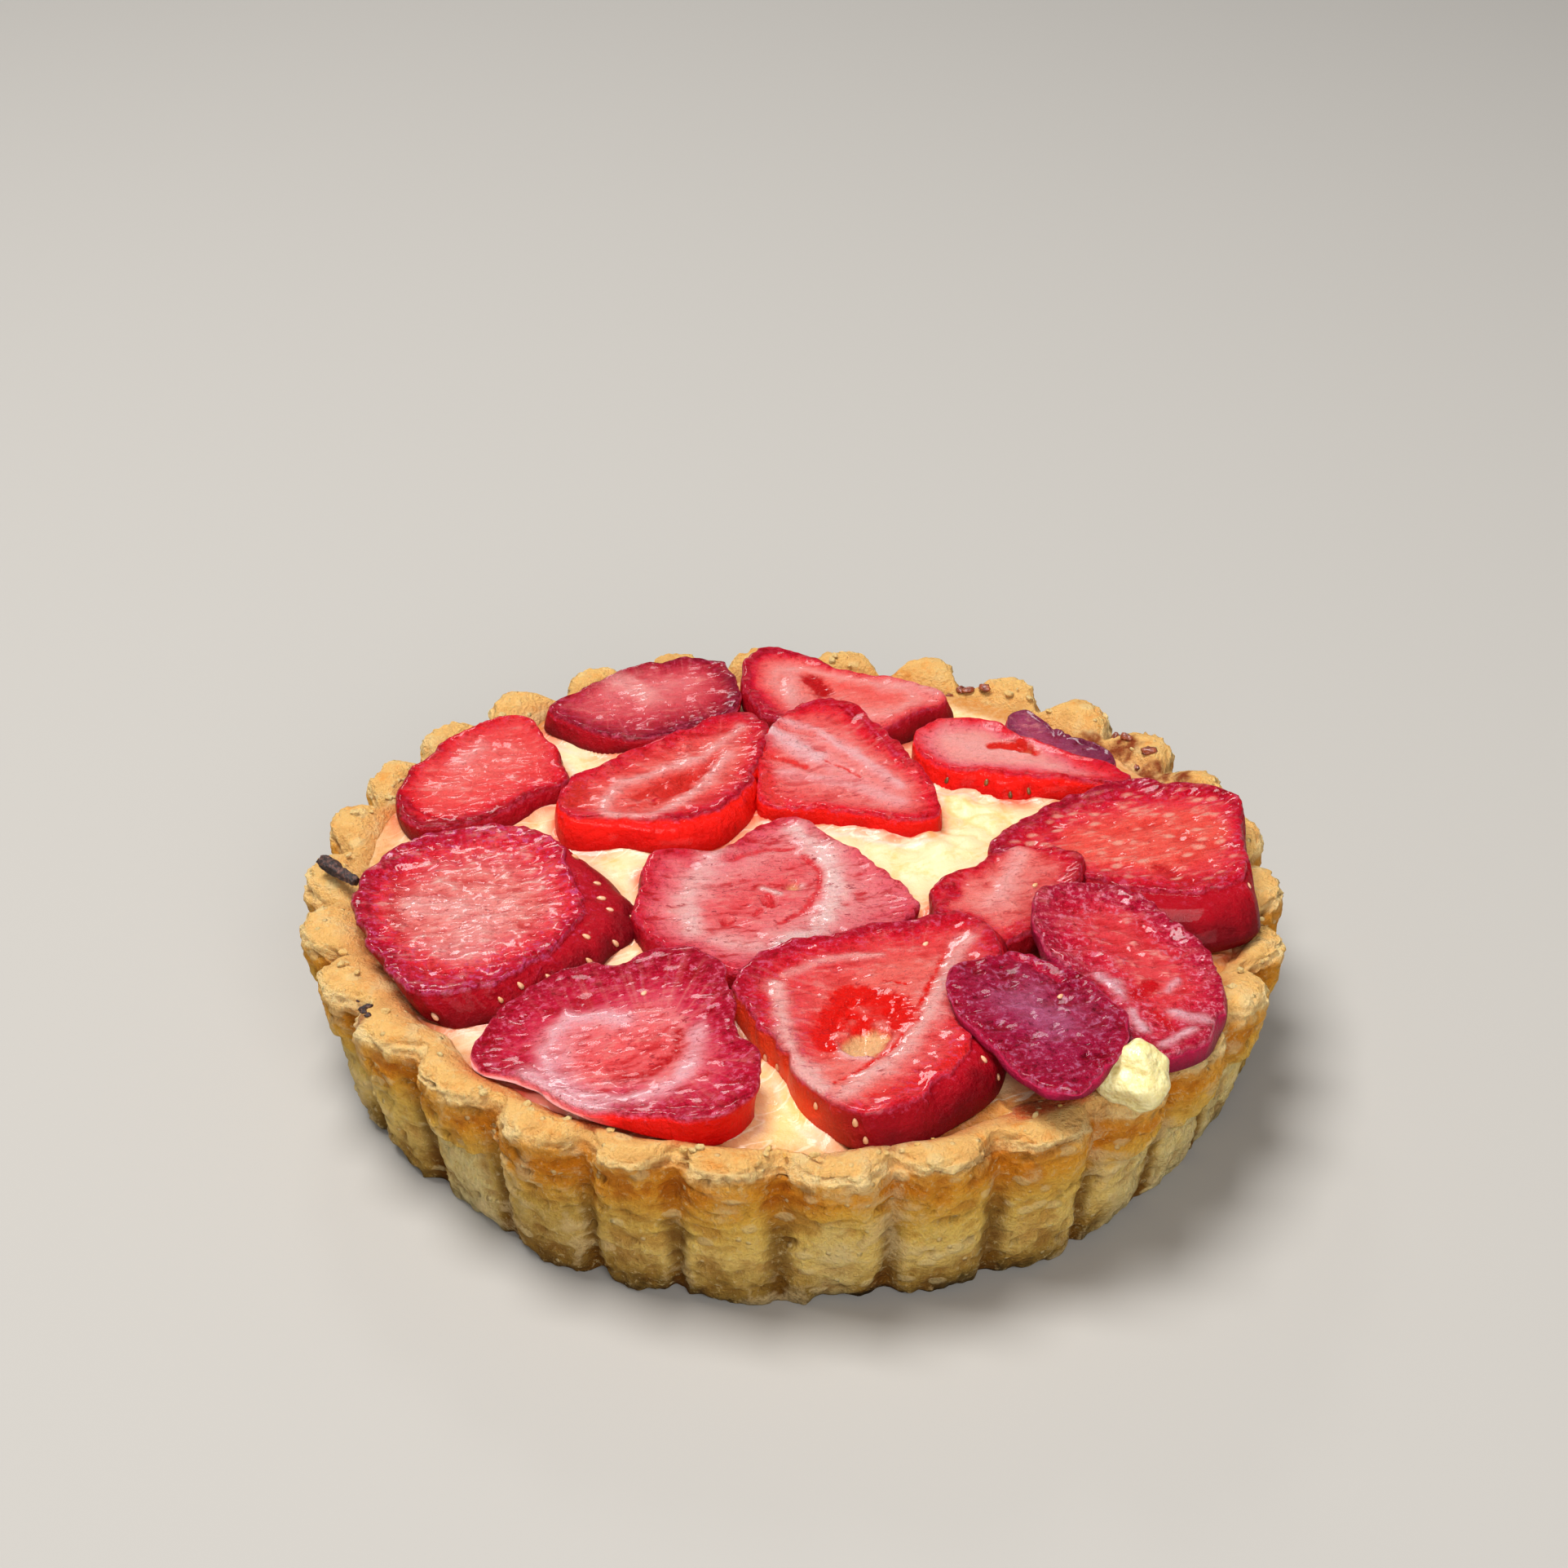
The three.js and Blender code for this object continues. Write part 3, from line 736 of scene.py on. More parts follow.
@dataclass(frozen=True)
class Case:
    """The fluted shortcrust case."""

    rim_radius: float = 50.0
    base_radius: float = 46.8
    rim_height: float = 17.1
    floor_height: float = 4.0
    wall_inset: float = 5.0
    floor_radius: float = 40.6
    pinches: tuple[Place, ...] = (Place(-51, 18, 1.2), Place(73, 10, -0.4))
    flutes: int = 30
    start: float = -1.55
    flute_depth: float = 2.4
    valley: float = 0.2  # half the width of a valley at the foot, in flutes
    notch: float = 0.3  # the same at the rim
    sway: float = 0.05  # how unevenly the flutes are spaced
    dip: float = 0.8
    lip: float = 0.15
    drift: Place = Place(-30, 16, -0.22)  # flutes that lie a little to the right
    flank: float = 0.45  # how much painted shade darkens the left of each flute on the upper wall
    aprons: tuple[Place, ...] = (Place(-66, 26, 1.9), Place(40, 18, 1.5))  # where the inside spreads inwards
    painted_wall_shade: Place = Place(-28, 10, 0.45)  # a stretch of the wall darkened with painted shade
    soak_fades: tuple[float, float] = (46.8, 45.6)  # the radii between which juice reaches its full strength
    rise: float = 1.3
    ledge_height: float = 10.5
    ledges: tuple[Place, ...] = (
        Place(-70, 22, 0.7), Place(53, 11, 1.4), Place(180, 50, 0.5), Place(4.5, 5, 0.7), Place(-40, 6, 0.6),
    )
    chips: tuple[Place, ...] = (Place(3, 3.4, 0.8), Place(80, 8, 0.9), Place(-93, 3, 0.6), Place(150, 4, 0.5))
    columns: int = 1080
    pits: int = 420
    grains: int = 2400
    spills: tuple[tuple[float, float, float], ...] = (
        (151, 40.5, 1.6), (131, 43.8, 2.2), (127, 45.5, 1.8), (119, 44.6, 2.4), (114, 45.4, 1.6),
        (-58, 48.5, 0.9),
    )  # jam on the rim: the angle in degrees, the distance from the middle and the half width of each

    def flute_place(self, angle: np.ndarray) -> np.ndarray:
        """The angle counted in flutes from the front valley."""
        even = (angle - math.radians(self.start)) * self.flutes / TAU
        return even + set_in((self.drift,), angle) + self.sway * unevenness(angle, 31)

    def lobe(self, angle: np.ndarray, height: np.ndarray | float = 0.0) -> np.ndarray:
        """How full a flute is at a height: 0 in a valley and 1 on the flute."""
        place = self.flute_place(angle)
        wide = self.valley + (self.notch - self.valley) * smooth(5.0, self.rim_height - 1, height)
        return 0.5 * smooth(0, wide, np.abs(place - np.round(place))) + 0.5 * np.abs(np.sin(math.pi * place))

    def per_flute(self, angle: np.ndarray, seed: int) -> np.ndarray:
        """A fixed number between 0 and 1 for the flute at each angle."""
        draws = np.array([draw(k, seed) for k in range(self.flutes)])
        return draws[np.floor(self.flute_place(angle) + 1e-6).astype(int) % self.flutes]

    def profile(self) -> tuple[np.ndarray, np.ndarray]:
        """Rows up the outside, over the rim and down the inside.

        Returns:
            For each row its radius, height, depth of the valleys, share of the rim's waves, share of the
            pinches and share of the aprons, and for each row where it is: below 1 on the wall, up to 2 on
            the rim, more inside.
        """
        span = self.rim_radius - self.base_radius
        outer = [self.base_radius + span * share for share in (0, 0.02, 0.5, 0.98, 1)]
        top = self.rim_height
        knots = np.array([
            (outer[0] - 0.9, 0.0, 1.4, 0.0, 1, 0),
            (outer[1], 1.0, 1.8, 0.0, 1, 0),
            (outer[2], 8.5, 2.0, 0.0, 1, 0),
            (outer[3] - self.lip, top - 2.1, self.flute_depth, 0.75, 1, 0),
            (outer[4] - 0.1, top - 0.75, 1.2 * self.flute_depth, 1.0, 1, 0),
            (outer[4] - 0.8, top + 0.03, 1.2 * self.flute_depth, 1.0, 1, 0),
            (outer[4] - 3.2, top + 0.25, 0.6 * self.flute_depth, 0.7, 1, 0),
            (self.rim_radius - self.wall_inset - 0.4, top - 0.95, 0.5, 0.3, 0, 1),
            (self.rim_radius - self.wall_inset - 1.4, top - 3, 0.2, 0.0, 0, 1),
            (self.floor_radius, self.floor_height, 0.0, 0.0, 0, 0),
        ])
        counts = (5, 26, 24, 8, 7, 9, 8, 2, 1)
        rows = curve_through(knots, counts)
        stages = (0, 0.1, 0.5, 0.9, 1.1, 1.4, 1.8, 2.2, 3, 4)
        return rows, np.interp(np.arange(len(rows)), np.cumsum((0, *counts)), stages)

    def shape(self, angle: np.ndarray, rows: np.ndarray) -> tuple[np.ndarray, np.ndarray]:
        """The case before its fine relief.

        Args:
            angle: The columns' angles.
            rows: The profile's rows.

        Returns:
            Points by row and column, and how far each is set in under its ledge.
        """
        radius, z, flute, rise, pinch, apron = (rows[:, k : k + 1] for k in range(6))
        full = self.lobe(angle, z)
        uneven = 0.35 * unevenness(angle, 5) + 0.25 * (self.per_flute(angle, 4) - 0.5)
        around = np.stack([radius * np.sin(angle), radius * np.cos(angle), 0.4 * z + 0 * angle], -1)
        edge = self.ledge_height + 2.4 * (self.per_flute(angle, 9) - 0.5)
        edge = edge + 0.8 * noise(around, 3.0, 21) + 0.4 * noise(around, 1.1, 22)
        depth = full * (0.05 + set_in(self.ledges, angle) + 0.6 * self.per_flute(angle, 3) ** 2)
        ledge = depth * smooth(0.25, -0.25, z - edge)
        hung = ledge * (1 - 0.35 * np.sin(math.pi * np.clip(z / edge, 0, 1)) * full)
        r = radius - pinch * set_in(self.pinches, angle) - flute * (1 - full) - hung
        spread = apron * set_in(self.aprons, angle) * (1 + 0.35 * noise(around, 5.0, 25, 2))
        r = r - np.abs(uneven * full) * (flute > 1) - spread
        rear = smooth(0.9, 2.2, np.abs((angle + math.pi) % TAU - math.pi))
        lobed = (self.rise * full - self.dip * (1 - full) - 0.15 * self.rise) * (0.25 + 0.75 * rear)
        height = z + rise * (lobed + 0.35 * unevenness(angle, 8)) + 0.3 * spread
        return np.stack([r * np.sin(angle), -r * np.cos(angle), height], -1), ledge

    @staticmethod
    def outward(points: np.ndarray) -> np.ndarray:
        """The unit normals of a closed band of points by row and column."""
        along = np.roll(points, -1, 1) - np.roll(points, 1, 1)
        up = np.gradient(points, axis=0)
        normal = np.cross(along, up)
        return normal / np.maximum(np.linalg.norm(normal, axis=-1, keepdims=True), 1e-9)

    def dots(self, angle: np.ndarray, rows: np.ndarray, count: int, seed: int, wide: float) -> np.ndarray:
        """Scattered spots over the wall.

        Args:
            angle: The columns' angles.
            rows: The profile's rows.
            count: How many spots.
            seed: Which draw.
            wide: How wide the spots are, on average.

        Returns:
            For each point how deep in a spot it is, from 0 to 1.
        """
        rng = np.random.default_rng(seed)
        found = np.zeros((len(rows), len(angle)))
        heights = rows[:, 1]
        wall = int(np.argmax(heights > self.rim_height - 0.6))
        step = TAU / len(angle)
        for _ in range(count):
            turn, z = rng.uniform(0, TAU), rng.uniform(0.8, self.rim_height - 0.8)
            half = wide * rng.uniform(0.5, 1.5)
            tall = half * rng.uniform(0.3, 0.8)
            strength = rng.uniform(0.45, 1.0)
            reach = int(2.2 * half / (step * self.base_radius)) + 1
            columns = (int(turn / step) + np.arange(-reach, reach + 1)) % len(angle)
            lines = np.nonzero(np.abs(heights[:wall] - z) < 2.2 * tall)[0]
            across = (np.arange(-reach, reach + 1) * step * self.base_radius) / half
            up = (heights[lines] - z) / tall
            spot = strength * np.exp(-(across[None] ** 2) - up[:, None] ** 2)
            grid = np.ix_(lines, columns)
            found[grid] = np.maximum(found[grid], spot)
        return found

    def build(self, berries: list[Berry]) -> bpy.types.Object:
        """The case with its relief, and juice where the berries touch it.

        Args:
            berries: What lies against it.

        Returns:
            The piece, replacing the plain one.
        """
        angle = math.radians(self.start) + TAU * np.arange(self.columns) / self.columns
        rows, stage = self.profile()
        points, ledge = self.shape(angle, rows)
        full = self.lobe(angle, rows[:, 1:2])
        wall = smooth(1.25, 1.0, stage)[:, None]
        top = (smooth(1.05, 1.3, stage) * smooth(3.2, 2.4, stage))[:, None]
        band = wall + top
        normal = self.outward(points)
        pits = self.dots(angle, rows, self.pits, 3, 0.62)
        grains = self.dots(angle, rows, self.grains, 4, 0.4)
        ridged = 0.7 - 2 * np.abs(noise(points, (2.6, 2.6, 1.6), 14, 3))
        lumps = 0.24 * noise(points, 3.2, 12, 3) + 0.22 * ridged
        relief = 0.3 * noise(points, 7.0, 11) + lumps * (0.35 + 0.65 * wall)
        cracks = smooth(0.1, 0.0, np.abs(noise(points, (3.6, 3.6, 1.5), 15)))
        cracks = cracks * smooth(-0.1, 0.4, noise(points, 5, 16))
        relief = relief * band - 0.55 * pits + 0.2 * grains - 0.35 * cracks * wall
        chip = set_in(self.chips, angle)[None] * smooth(0.85, 1.15, stage)[:, None]
        chip = chip * smooth(2.6, 1.9, stage)[:, None]
        relief = relief - chip * (0.5 + 0.7 * np.abs(noise(points, 1.3, 17, 3)))
        edge = (smooth(0.8, 1.1, stage) * smooth(1.7, 1.3, stage))[:, None]
        relief = relief - 0.4 * edge * smooth(0.1, 0.6, noise(points, 1.6, 18, 2))
        relief = relief - 0.45 * edge * np.abs(noise(points, 0.9, 20, 2))
        points = points + normal * relief[..., None]
        foot = smooth(1.2, 0.0, rows[:, 1])[:, None] * smooth(0.5, 0.1, stage)[:, None]
        points[..., :2] *= 1 + (0.012 * foot * noise(points, 1.6, 19, 2))[..., None]
        points[..., 2] = np.maximum(points[..., 2], 0.0)
        points[0, :, 2] = 0.0
        cream = smooth(0.45, 1.1, ledge) * smooth(0.2, 0.75, full)
        part = self.flute_place(angle) % 1
        # Painted shade on the left of each flute, on the upper wall.
        flank = self.flank * smooth(0.48, 0.2, part) * smooth(8, 14, points[..., 2])
        painted_wall_shade = set_in((self.painted_wall_shade,), angle)
        inner = stage > 1.5
        flat = points[inner][..., :2].reshape(-1, 2)
        near = np.minimum.reduce([berry.distance(flat) for berry in berries])
        soaked = np.zeros_like(full)
        held_back = smooth(*self.soak_fades, np.hypot(flat[:, 0], flat[:, 1]))
        soaked[inner] = (np.exp(-np.maximum(near, 0) / 1.4) * held_back).reshape(-1, self.columns)
        spilt = np.zeros_like(full)
        for turn, radius, wide in self.spills:
            spot = (radius * math.sin(math.radians(turn)), -radius * math.cos(math.radians(turn)))
            away = np.hypot(points[..., 0] - spot[0], points[..., 1] - spot[1]) / wide
            spilt = np.maximum(spilt, smooth(1.2, 0.5, away + 0.5 * noise(points, 1.2, 24, 2)))
        # Painted shade in the valleys and on the flutes' left sides, over the wall and the rim; one stretch
        # of wall gets more below.
        crease = np.maximum(smooth(0.75, 0.1, full), flank) * (wall + 0.8 * top)
        # A painted highlight along the rim's outer edge, stronger on the flutes and held back where the wall
        # has painted shade.
        lip = (smooth(0.93, 1.03, stage) * smooth(1.4, 1.15, stage))[:, None] * (0.35 + 0.65 * full)
        blotches = 0.4 + 0.6 * smooth(-0.2, 0.5, noise(points, 7, 23))
        fields = {
            "crease": np.maximum(crease, painted_wall_shade * wall),
            "jam": spilt * smooth(0.8, 1.2, stage)[:, None],
            "lip": lip * (1 - 1.6 * painted_wall_shade),
            "top": top * smooth(-0.3, 0.4, normal[..., 2]),
            "cream": cream,
            "pit": np.clip(smooth(0.25, 0.8, pits) + 0.6 * cracks * wall, 0, 1),
            "lift": np.clip(2.6 * lumps + 0.4 * noise(points, 7.0, 11), -1, 1),
            "soaked": soaked,
            "stain": smooth(1.75, 2.3, stage)[:, None] * blotches,
        }
        low, high = [0, 0, 0], [0, 0, self.floor_height]
        padded = {label: np.concatenate([[0], values.ravel(), [0]]) for label, values in fields.items()}
        grid = np.vstack([low, points.reshape(-1, 3), high])
        made = Surface(grid, ring_faces(len(rows), self.columns), padded).piece("fluted_crust", BakedCrust())
        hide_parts("crust")
        return made

    def rim_point(self, turn: float, inset: float) -> np.ndarray:
        """A point on top of the rim.

        Args:
            turn: Its angle round the case, in degrees.
            inset: How far it lies in from the outside of a flute.

        Returns:
            The point.
        """
        rows, stage = self.profile()
        rows = rows[(stage > 1.15) & (stage < 2.3)]
        points, _ = self.shape(np.array([math.radians(turn)]), rows)
        radii = np.hypot(points[:, 0, 0], points[:, 0, 1])
        nearest = int(np.argmin(np.abs(radii - (self.rim_radius - inset))))
        return points[nearest, 0]


# ---------------------------------------------------------------- the cut strawberries


@dataclass(frozen=True)
class Hollow:
    """A hollow core in a slice's face."""

    at: tuple[float, float]
    length: float
    width: float
    turn: float
    depth: float
    tone: float = 0.0  # 0 for red flesh and 1 for pale pith

    def depth_at(self, x: np.ndarray, y: np.ndarray) -> np.ndarray:
        """How deep the face is at a place from the slice's centre."""
        turn = math.radians(self.turn)
        along = ((x - self.at[0]) * math.cos(turn) + (y - self.at[1]) * math.sin(turn)) / self.length
        across = ((y - self.at[1]) * math.cos(turn) - (x - self.at[0]) * math.sin(turn)) / self.width
        return self.depth * np.maximum(0, 1 - along**2 - across**2)


class Tint(Enum):
    """What a stroke on a face brings out."""

    PALE = "pale"
    RED = "red"
    DARK = "dark"


PALE, RED, DARK = Tint


@dataclass(frozen=True)
class Mark:
    """A soft stroke on a face: its line from the centre, its half width and its strength."""

    tint: Tint
    line: tuple[tuple[float, float], ...]
    width: float
    strength: float = 1.0

    def share_at(self, flat: np.ndarray, wander: np.ndarray) -> np.ndarray:
        """How strong it is at flat places from the centre, with an edge that wanders."""
        away = line_distance(flat, np.array(self.line)) / (self.width * (1 + 0.4 * wander))
        return self.strength * np.exp(-(away**2))


@dataclass(frozen=True)
class Slice:
    """One cut berry.

    "at" is the centre of its face, "slope" the face's rise along X and Y, "thick" its thickness there and
    "wedge" how that changes along X and Y. "lean" is how far the underside lies sideways from the face.
    "outline" is the distance from centre to edge in some directions, in degrees. "skirt" is how much wider
    the skin is at its foot. "heart" is the line that its bands surround, from and to a place measured from
    the centre, as are the pale "flecks" on the face.
    """

    name: str
    at: tuple[float, float, float]
    slope: tuple[float, float]
    thick: float
    wedge: tuple[float, float]
    lean: tuple[float, float]
    outline: tuple[tuple[float, float], ...]
    heart: tuple[tuple[float, float], tuple[float, float]]
    finish: CutStrawberry
    hollows: tuple[Hollow, ...] = ()
    skirt: tuple[Place, ...] = ()
    marks: tuple[Mark, ...] = ()
    flecks: tuple[tuple[float, float], ...] = ()
    seeded: float = 0.3  # the share of seeds that show
    thinnest: float = 1.0
    seed_tone: float = 0.05
    curl: float = 0.3
    ruffle: float = 0.11

    def reach_at(self, angle: np.ndarray) -> np.ndarray:
        """The distance from the centre to the edge of the face, with its corners slightly rounded."""
        turns, reaches = zip(*self.outline)
        places = [np.degrees(angle) + shift for shift in (-3.5, 0, 3.5)]
        return sum(w * np.interp(p, turns, reaches, period=360) for p, w in zip(places, (0.25, 0.5, 0.25)))

    def face(self, x: np.ndarray, y: np.ndarray) -> np.ndarray:
        """The height of the flat face at a place from the centre."""
        return self.at[2] + self.slope[0] * x + self.slope[1] * y


CORAL = (
    (0.0, "fe6e68"), (0.35, "fd5653"), (0.7, "f64043"), (0.84, "ec1023"), (0.93, "c8001b"), (1.0, "ac0019"),
)

SLICES = (
    Slice(
        "slice_thin_dark", (22.4, -31.4, 22.5), (0, 0.1), 1.1, (0, 0), (0, 0),
        ((13, 7.1), (45, 6.5), (80, 7.3), (100, 9), (127, 8.9), (139, 10.2), (168, 7.9), (204, 6.4),
         (232, 6.6), (264, 9.9), (270, 11.1), (287, 11.3), (313, 9), (358, 8.1)),
        ((-1.4, -0.8), (1, -3.1)),
        CutStrawberry(
            ((0.0, "b02250"), (0.4, "aa1040"), (0.8, "a40632"), (1.0, "b40634")), Sight.PURPLE,
            fibre=0.15, mottle=0.55, grainy=0.7, crack=0.7, wet=0.3, frost="d4789e", thread="c45880",
            dusk="8c3050",
            gleam="c888ac", hollow="c8183c", slot="dark_strawberry",
        ),
        flecks=((2.2, 2),), seeded=0.1, curl=0.05, ruffle=0.24,
        marks=(
            Mark(PALE, ((-1.6, 1.8), (1.5, -1.2)), 2.4, 0.3),
            Mark(RED, ((-1.5, 7.9), (2.5, 4.8)), 0.45, 0.9),
        ),
    ),
    Slice(
        "slice_right_dark", (31.9, -20.2, 21), (-0.1, 0.1), 2.2, (0, 0), (0, 0),
        ((45, 7), (93, 10.8), (133, 11.9), (164, 8.5), (202, 6.7), (230, 7.3), (255, 10), (271, 13.8),
         (278, 14.3), (298, 13.1), (312, 11.3), (355, 8.5)),
        ((-0.5, 4.4), (3.3, -3.6)),
        CutStrawberry(
            ((0.0, "f24c51"), (0.35, "ec3641"), (0.6, "de1e3d"), (0.8, "cc0e39"),
             (1.0, "b40633")), Sight.PURPLE,
            toward=70, bias=0.1, fibre=0.3, mottle=0.9, grainy=0.35, crest=0.9, wet=0.8, frost="ee7c92",
            gleam="f6bcc4", dusk="a83a50",
            hollow="d80c18", slot="dark_strawberry",
        ),
        flecks=((-8.2, 9.9),), seeded=0.05, curl=0.4, ruffle=0.24,
        marks=(
            Mark(DARK, ((-5.8, -0.6), (-7.3, 2.9), (-7.6, 7.3), (-2.6, 9), (2, 7.2), (5.5, 3.1),
                  (7.1, -1.9)), 1.4, 0.8),
            Mark(RED, ((0.2, -5.4), (1.8, -3.9)), 1, 0.9),
            Mark(RED, ((1.6, -8), (3.2, -10.3)), 0.7, 0.8),
            Mark(PALE, ((-3.3, -3.4), (-1.2, -5.5)), 0.7, 0.9),
            Mark(PALE, ((-0.4, -8.2), (0.3, -10.6)), 0.6, 0.9),
            Mark(PALE, ((3.5, -7.7), (6.4, -8.7)), 0.6, 0.9),
            Mark(PALE, ((1.8, -12.7), (4.9, -10.5)), 0.5, 0.9),
            Mark(PALE, ((3.2, -4.7), (4.4, -2.9)), 0.4, 0.7),
        ),
    ),
    Slice(
        "slice_front_hollow", (6.9, -28, 20.9), (0.04, 0.02), 4, (0, -0.28), (0.6, -0.5),
        ((9, 11.7), (43, 17.1), (59, 17.2), (67, 14.6), (102, 11.7), (127, 12.9), (167, 13.3), (179, 11.3),
         (208, 10.1), (222, 10.4), (267, 16.7), (283, 15.8), (299, 13.6), (332, 10.6), (349, 10.3)),
        ((4.4, 4.3), (-2.8, -11.8)),
        CutStrawberry(
            ((0.0, "fb7268"), (0.3, "fa6a60"), (0.5, "f65452"), (0.75, "f03038"), (0.9, "e20a28"),
             (1.0, "c00428")),
            toward=105, bias=0.12, fibre=0.5, mottle=0.65, wet=0.5, hollow="f0140a", end="fb4a20",
            gleam="ffb8b0",
        ),
        (Hollow((-0.4, -1.6), 4.6, 2.6, 55, 0.7), Hollow((-0.2, -5.6), 3.0, 2.4, 60, 1.5, 1)),
        (Place(-30, 32, 2.6),), flecks=((5.8, 9.5),),
        marks=(
            Mark(PALE, ((-8.6, 4), (-8, -0.3), (-7.6, -4.5), (-6.7, -8.5), (-4.9, -12.8)), 0.8, 0.9),
            Mark(PALE, ((-6, -10.4), (-4.4, -13.2)), 1.3, 1),
            Mark(PALE, ((-7.9, 4.9), (-4.8, 6.7), (-1.7, 7.6), (1.3, 7.8)), 0.5, 0.6),
            Mark(PALE, ((9.7, 9.8), (7.9, 5.4), (6.6, 1.5), (4.4, -4.8), (2.4, -8.4), (-1.3, -12.4),
                  (-2.8, -14.3)), 1.1, 0.8),
            Mark(PALE, ((-3.2, -6), (-2.2, -8), (0.3, -8.6)), 0.6, 0.9),
            Mark(RED, ((-1.6, 2.2), (-3.2, -1.2), (-4.2, -4.7), (-3.7, -6.6)), 1.6, 1),
            Mark(RED, ((-1, 1.9), (1.6, 1.3), (3.2, -0.9), (2.9, -2.9)), 1.6, 1),
            Mark(RED, ((1.5, 4.1), (3.8, 3.3)), 0.25, 0.9),
            Mark(RED, ((-3.1, -12.1), (-0.5, -9.8), (2.4, -6.5), (4.3, -1.9), (6.6, 5.1),
                  (7.6, 8.1)), 0.4, 0.65),
            Mark(RED, ((8.7, -7.5), (6, -11), (3, -13.3), (0.1, -14.3)), 1.1, 0.6),
            Mark(DARK, ((-12.1, 5.6), (-9.4, 7.1), (-7.9, 8.9), (-4.7, 10.1), (-0.8, 11.3), (3.1, 12.3),
                  (7.1, 12.9)), 1.05, 0.92),
        ),
    ),
    Slice(
        "slice_small_pale", (21.5, -8.1, 19.9), (0.05, 0.08), 2.2, (-0.12, -0.1), (0, 0),
        ((8, 6.4), (41, 10.2), (68, 8.1), (78, 8.5), (121, 6.1), (159, 7.8), (198, 7.6), (210, 5.6),
         (231, 5.3), (259, 7.9), (269, 6.9), (328, 4.7)),
        ((2, 6.7), (-2.2, -0.5)),
        CutStrawberry(
            ((0.0, "ff9a91"), (0.25, "fd887f"), (0.6, "f45e5b"), (0.8, "e20627"), (1.0, "b6001d")),
            toward=60, bias=0.1, fibre=0.35, mottle=0.4, wet=0.3,
        ),
        seeded=0.1,
        marks=(
            Mark(PALE, ((1.2, 7), (0.1, 3), (-1.9, -0.9)), 1, 0.7),
            Mark(DARK, ((-7.1, 1.6), (-5.3, 2.3), (-6.7, -1.1)), 1.5, 0.95),
            Mark(DARK, ((5.9, 3.4), (7.4, 4.6)), 1.2, 0.9),
            Mark(DARK, ((-0.9, -5.2), (2, -3.3)), 0.8, 0.8),
        ),
    ),
    Slice(
        "slice_front_left", (-16.1, -32, 19.8), (0.12, 0.1), 1.3, (0.27, 0), (0.2, -0.3),
        ((1, 10.7), (38, 12.2), (43, 13.2), (62, 13.7), (80, 12.5), (92, 10.7), (102, 11.6), (169, 12.8),
         (177, 13.7), (190, 13.3), (203, 10.3), (220, 9), (274, 10.5), (293, 12.4), (299, 14.1), (315, 15.9),
         (327, 16), (334, 14.7), (344, 14), (347, 12.4)),
        ((-1.5, -3.4), (3.3, -1.9)),
        CutStrawberry(
            ((0.0, "f6585a"), (0.26, "f86466"), (0.42, "fa8084"), (0.52, "ec5868"), (0.64, "de2a4c"),
             (0.8, "ca0834"), (1.0, "b4062c")),
            Sight.BRIGHT, toward=90, bias=0.08, fibre=0.6, mottle=0.7, crack=0.8, wet=0.3, frost="ec6888",
            gleam="fcb4ba", dusk="a83a50", end="f2a49c",
        ),
        skirt=(Place(-12, 32, -1.7),), flecks=((2.2, 6.1),), seeded=0.06, thinnest=0.35,
        marks=(
            Mark(PALE, ((0.5, 2.4), (-1.5, 3.5), (-4.5, 3.4), (-5.9, 1.7), (-6.6, -1), (-6.1, -3.9),
                  (-3.9, -7), (-0.1, -8.6), (3.5, -8.3), (5.8, -6.6), (7, -4.2), (7.2, 0)), 0.95, 0.85),
            Mark(PALE, ((-5.8, -0.6), (-5.1, -4.6)), 1.5, 0.5),
            Mark(PALE, ((-7.4, -5), (-4.8, -7.9), (-1.6, -9.8)), 1.6, 1),
            Mark(RED, ((5.8, 0.3), (5.4, -2.8), (3.4, -5), (0.1, -5.6)), 1, 0.6),
            Mark(RED, ((2.5, -0.7), (4.3, 0.1)), 1, 0.4),
            Mark(DARK, ((-13.4, 0.5), (-9.3, 6.3), (-4.9, 9.1)), 1.2, 0.8),
            Mark(DARK, ((2.9, 9.1), (8.3, 7.1), (11.1, -1.4)), 1.4, 0.7),
        ),
    ),
    Slice(
        "slice_half_berry", (-12.7, 15.7, 20.4), (0, 0.04), 4, (0, -0.2), (0.5, -0.8),
        ((5, 8.6), (23, 10.2), (52, 15.2), (63, 14.1), (77, 9.9), (95, 7.4), (123, 6.4), (155, 6.9),
         (177, 8.5), (183, 10.4), (204, 12.9), (219, 13.5), (243, 9.5), (339, 8.3)),
        ((-4.4, -6.7), (4.8, 2.9)),
        CutStrawberry(
            ((0.0, "f24640"), (0.25, "f55850"), (0.42, "fa7068"), (0.58, "f65650"), (0.75, "f0363a"),
             (0.9, "e20a2a"), (1.0, "bc0222")),
            Sight.BRIGHT, toward=-20, bias=0.06, fibre=0.4, mottle=0.3, hollow="e03028",
        ),
        (Hollow((0.5, -2.4), 5, 1.5, 48, 0.7),), (Place(-90, 60, 1.7),), seeded=0.12,
        marks=(
            Mark(PALE, ((7.1, 9.1), (3, 3.3), (-2.1, 0.3), (-5.4, -2), (-6.6, -4.5), (-6.9, -7.5),
                  (-4.8, -8.7), (-1.6, -8.3), (0.9, -5.9), (3.3, -2), (5.8, 3.8)), 0.7, 0.85),
            Mark(PALE, ((-6.4, -8.3), (-5.8, -8.4)), 1, 1),
            Mark(RED, ((-3.6, -4.5), (-1, -1.5), (1.9, 0.3)), 0.7, 0.8),
            Mark(DARK, ((-1.9, -4.7), (-0.1, -2.6), (1.5, -0.2)), 0.22, 0.95),
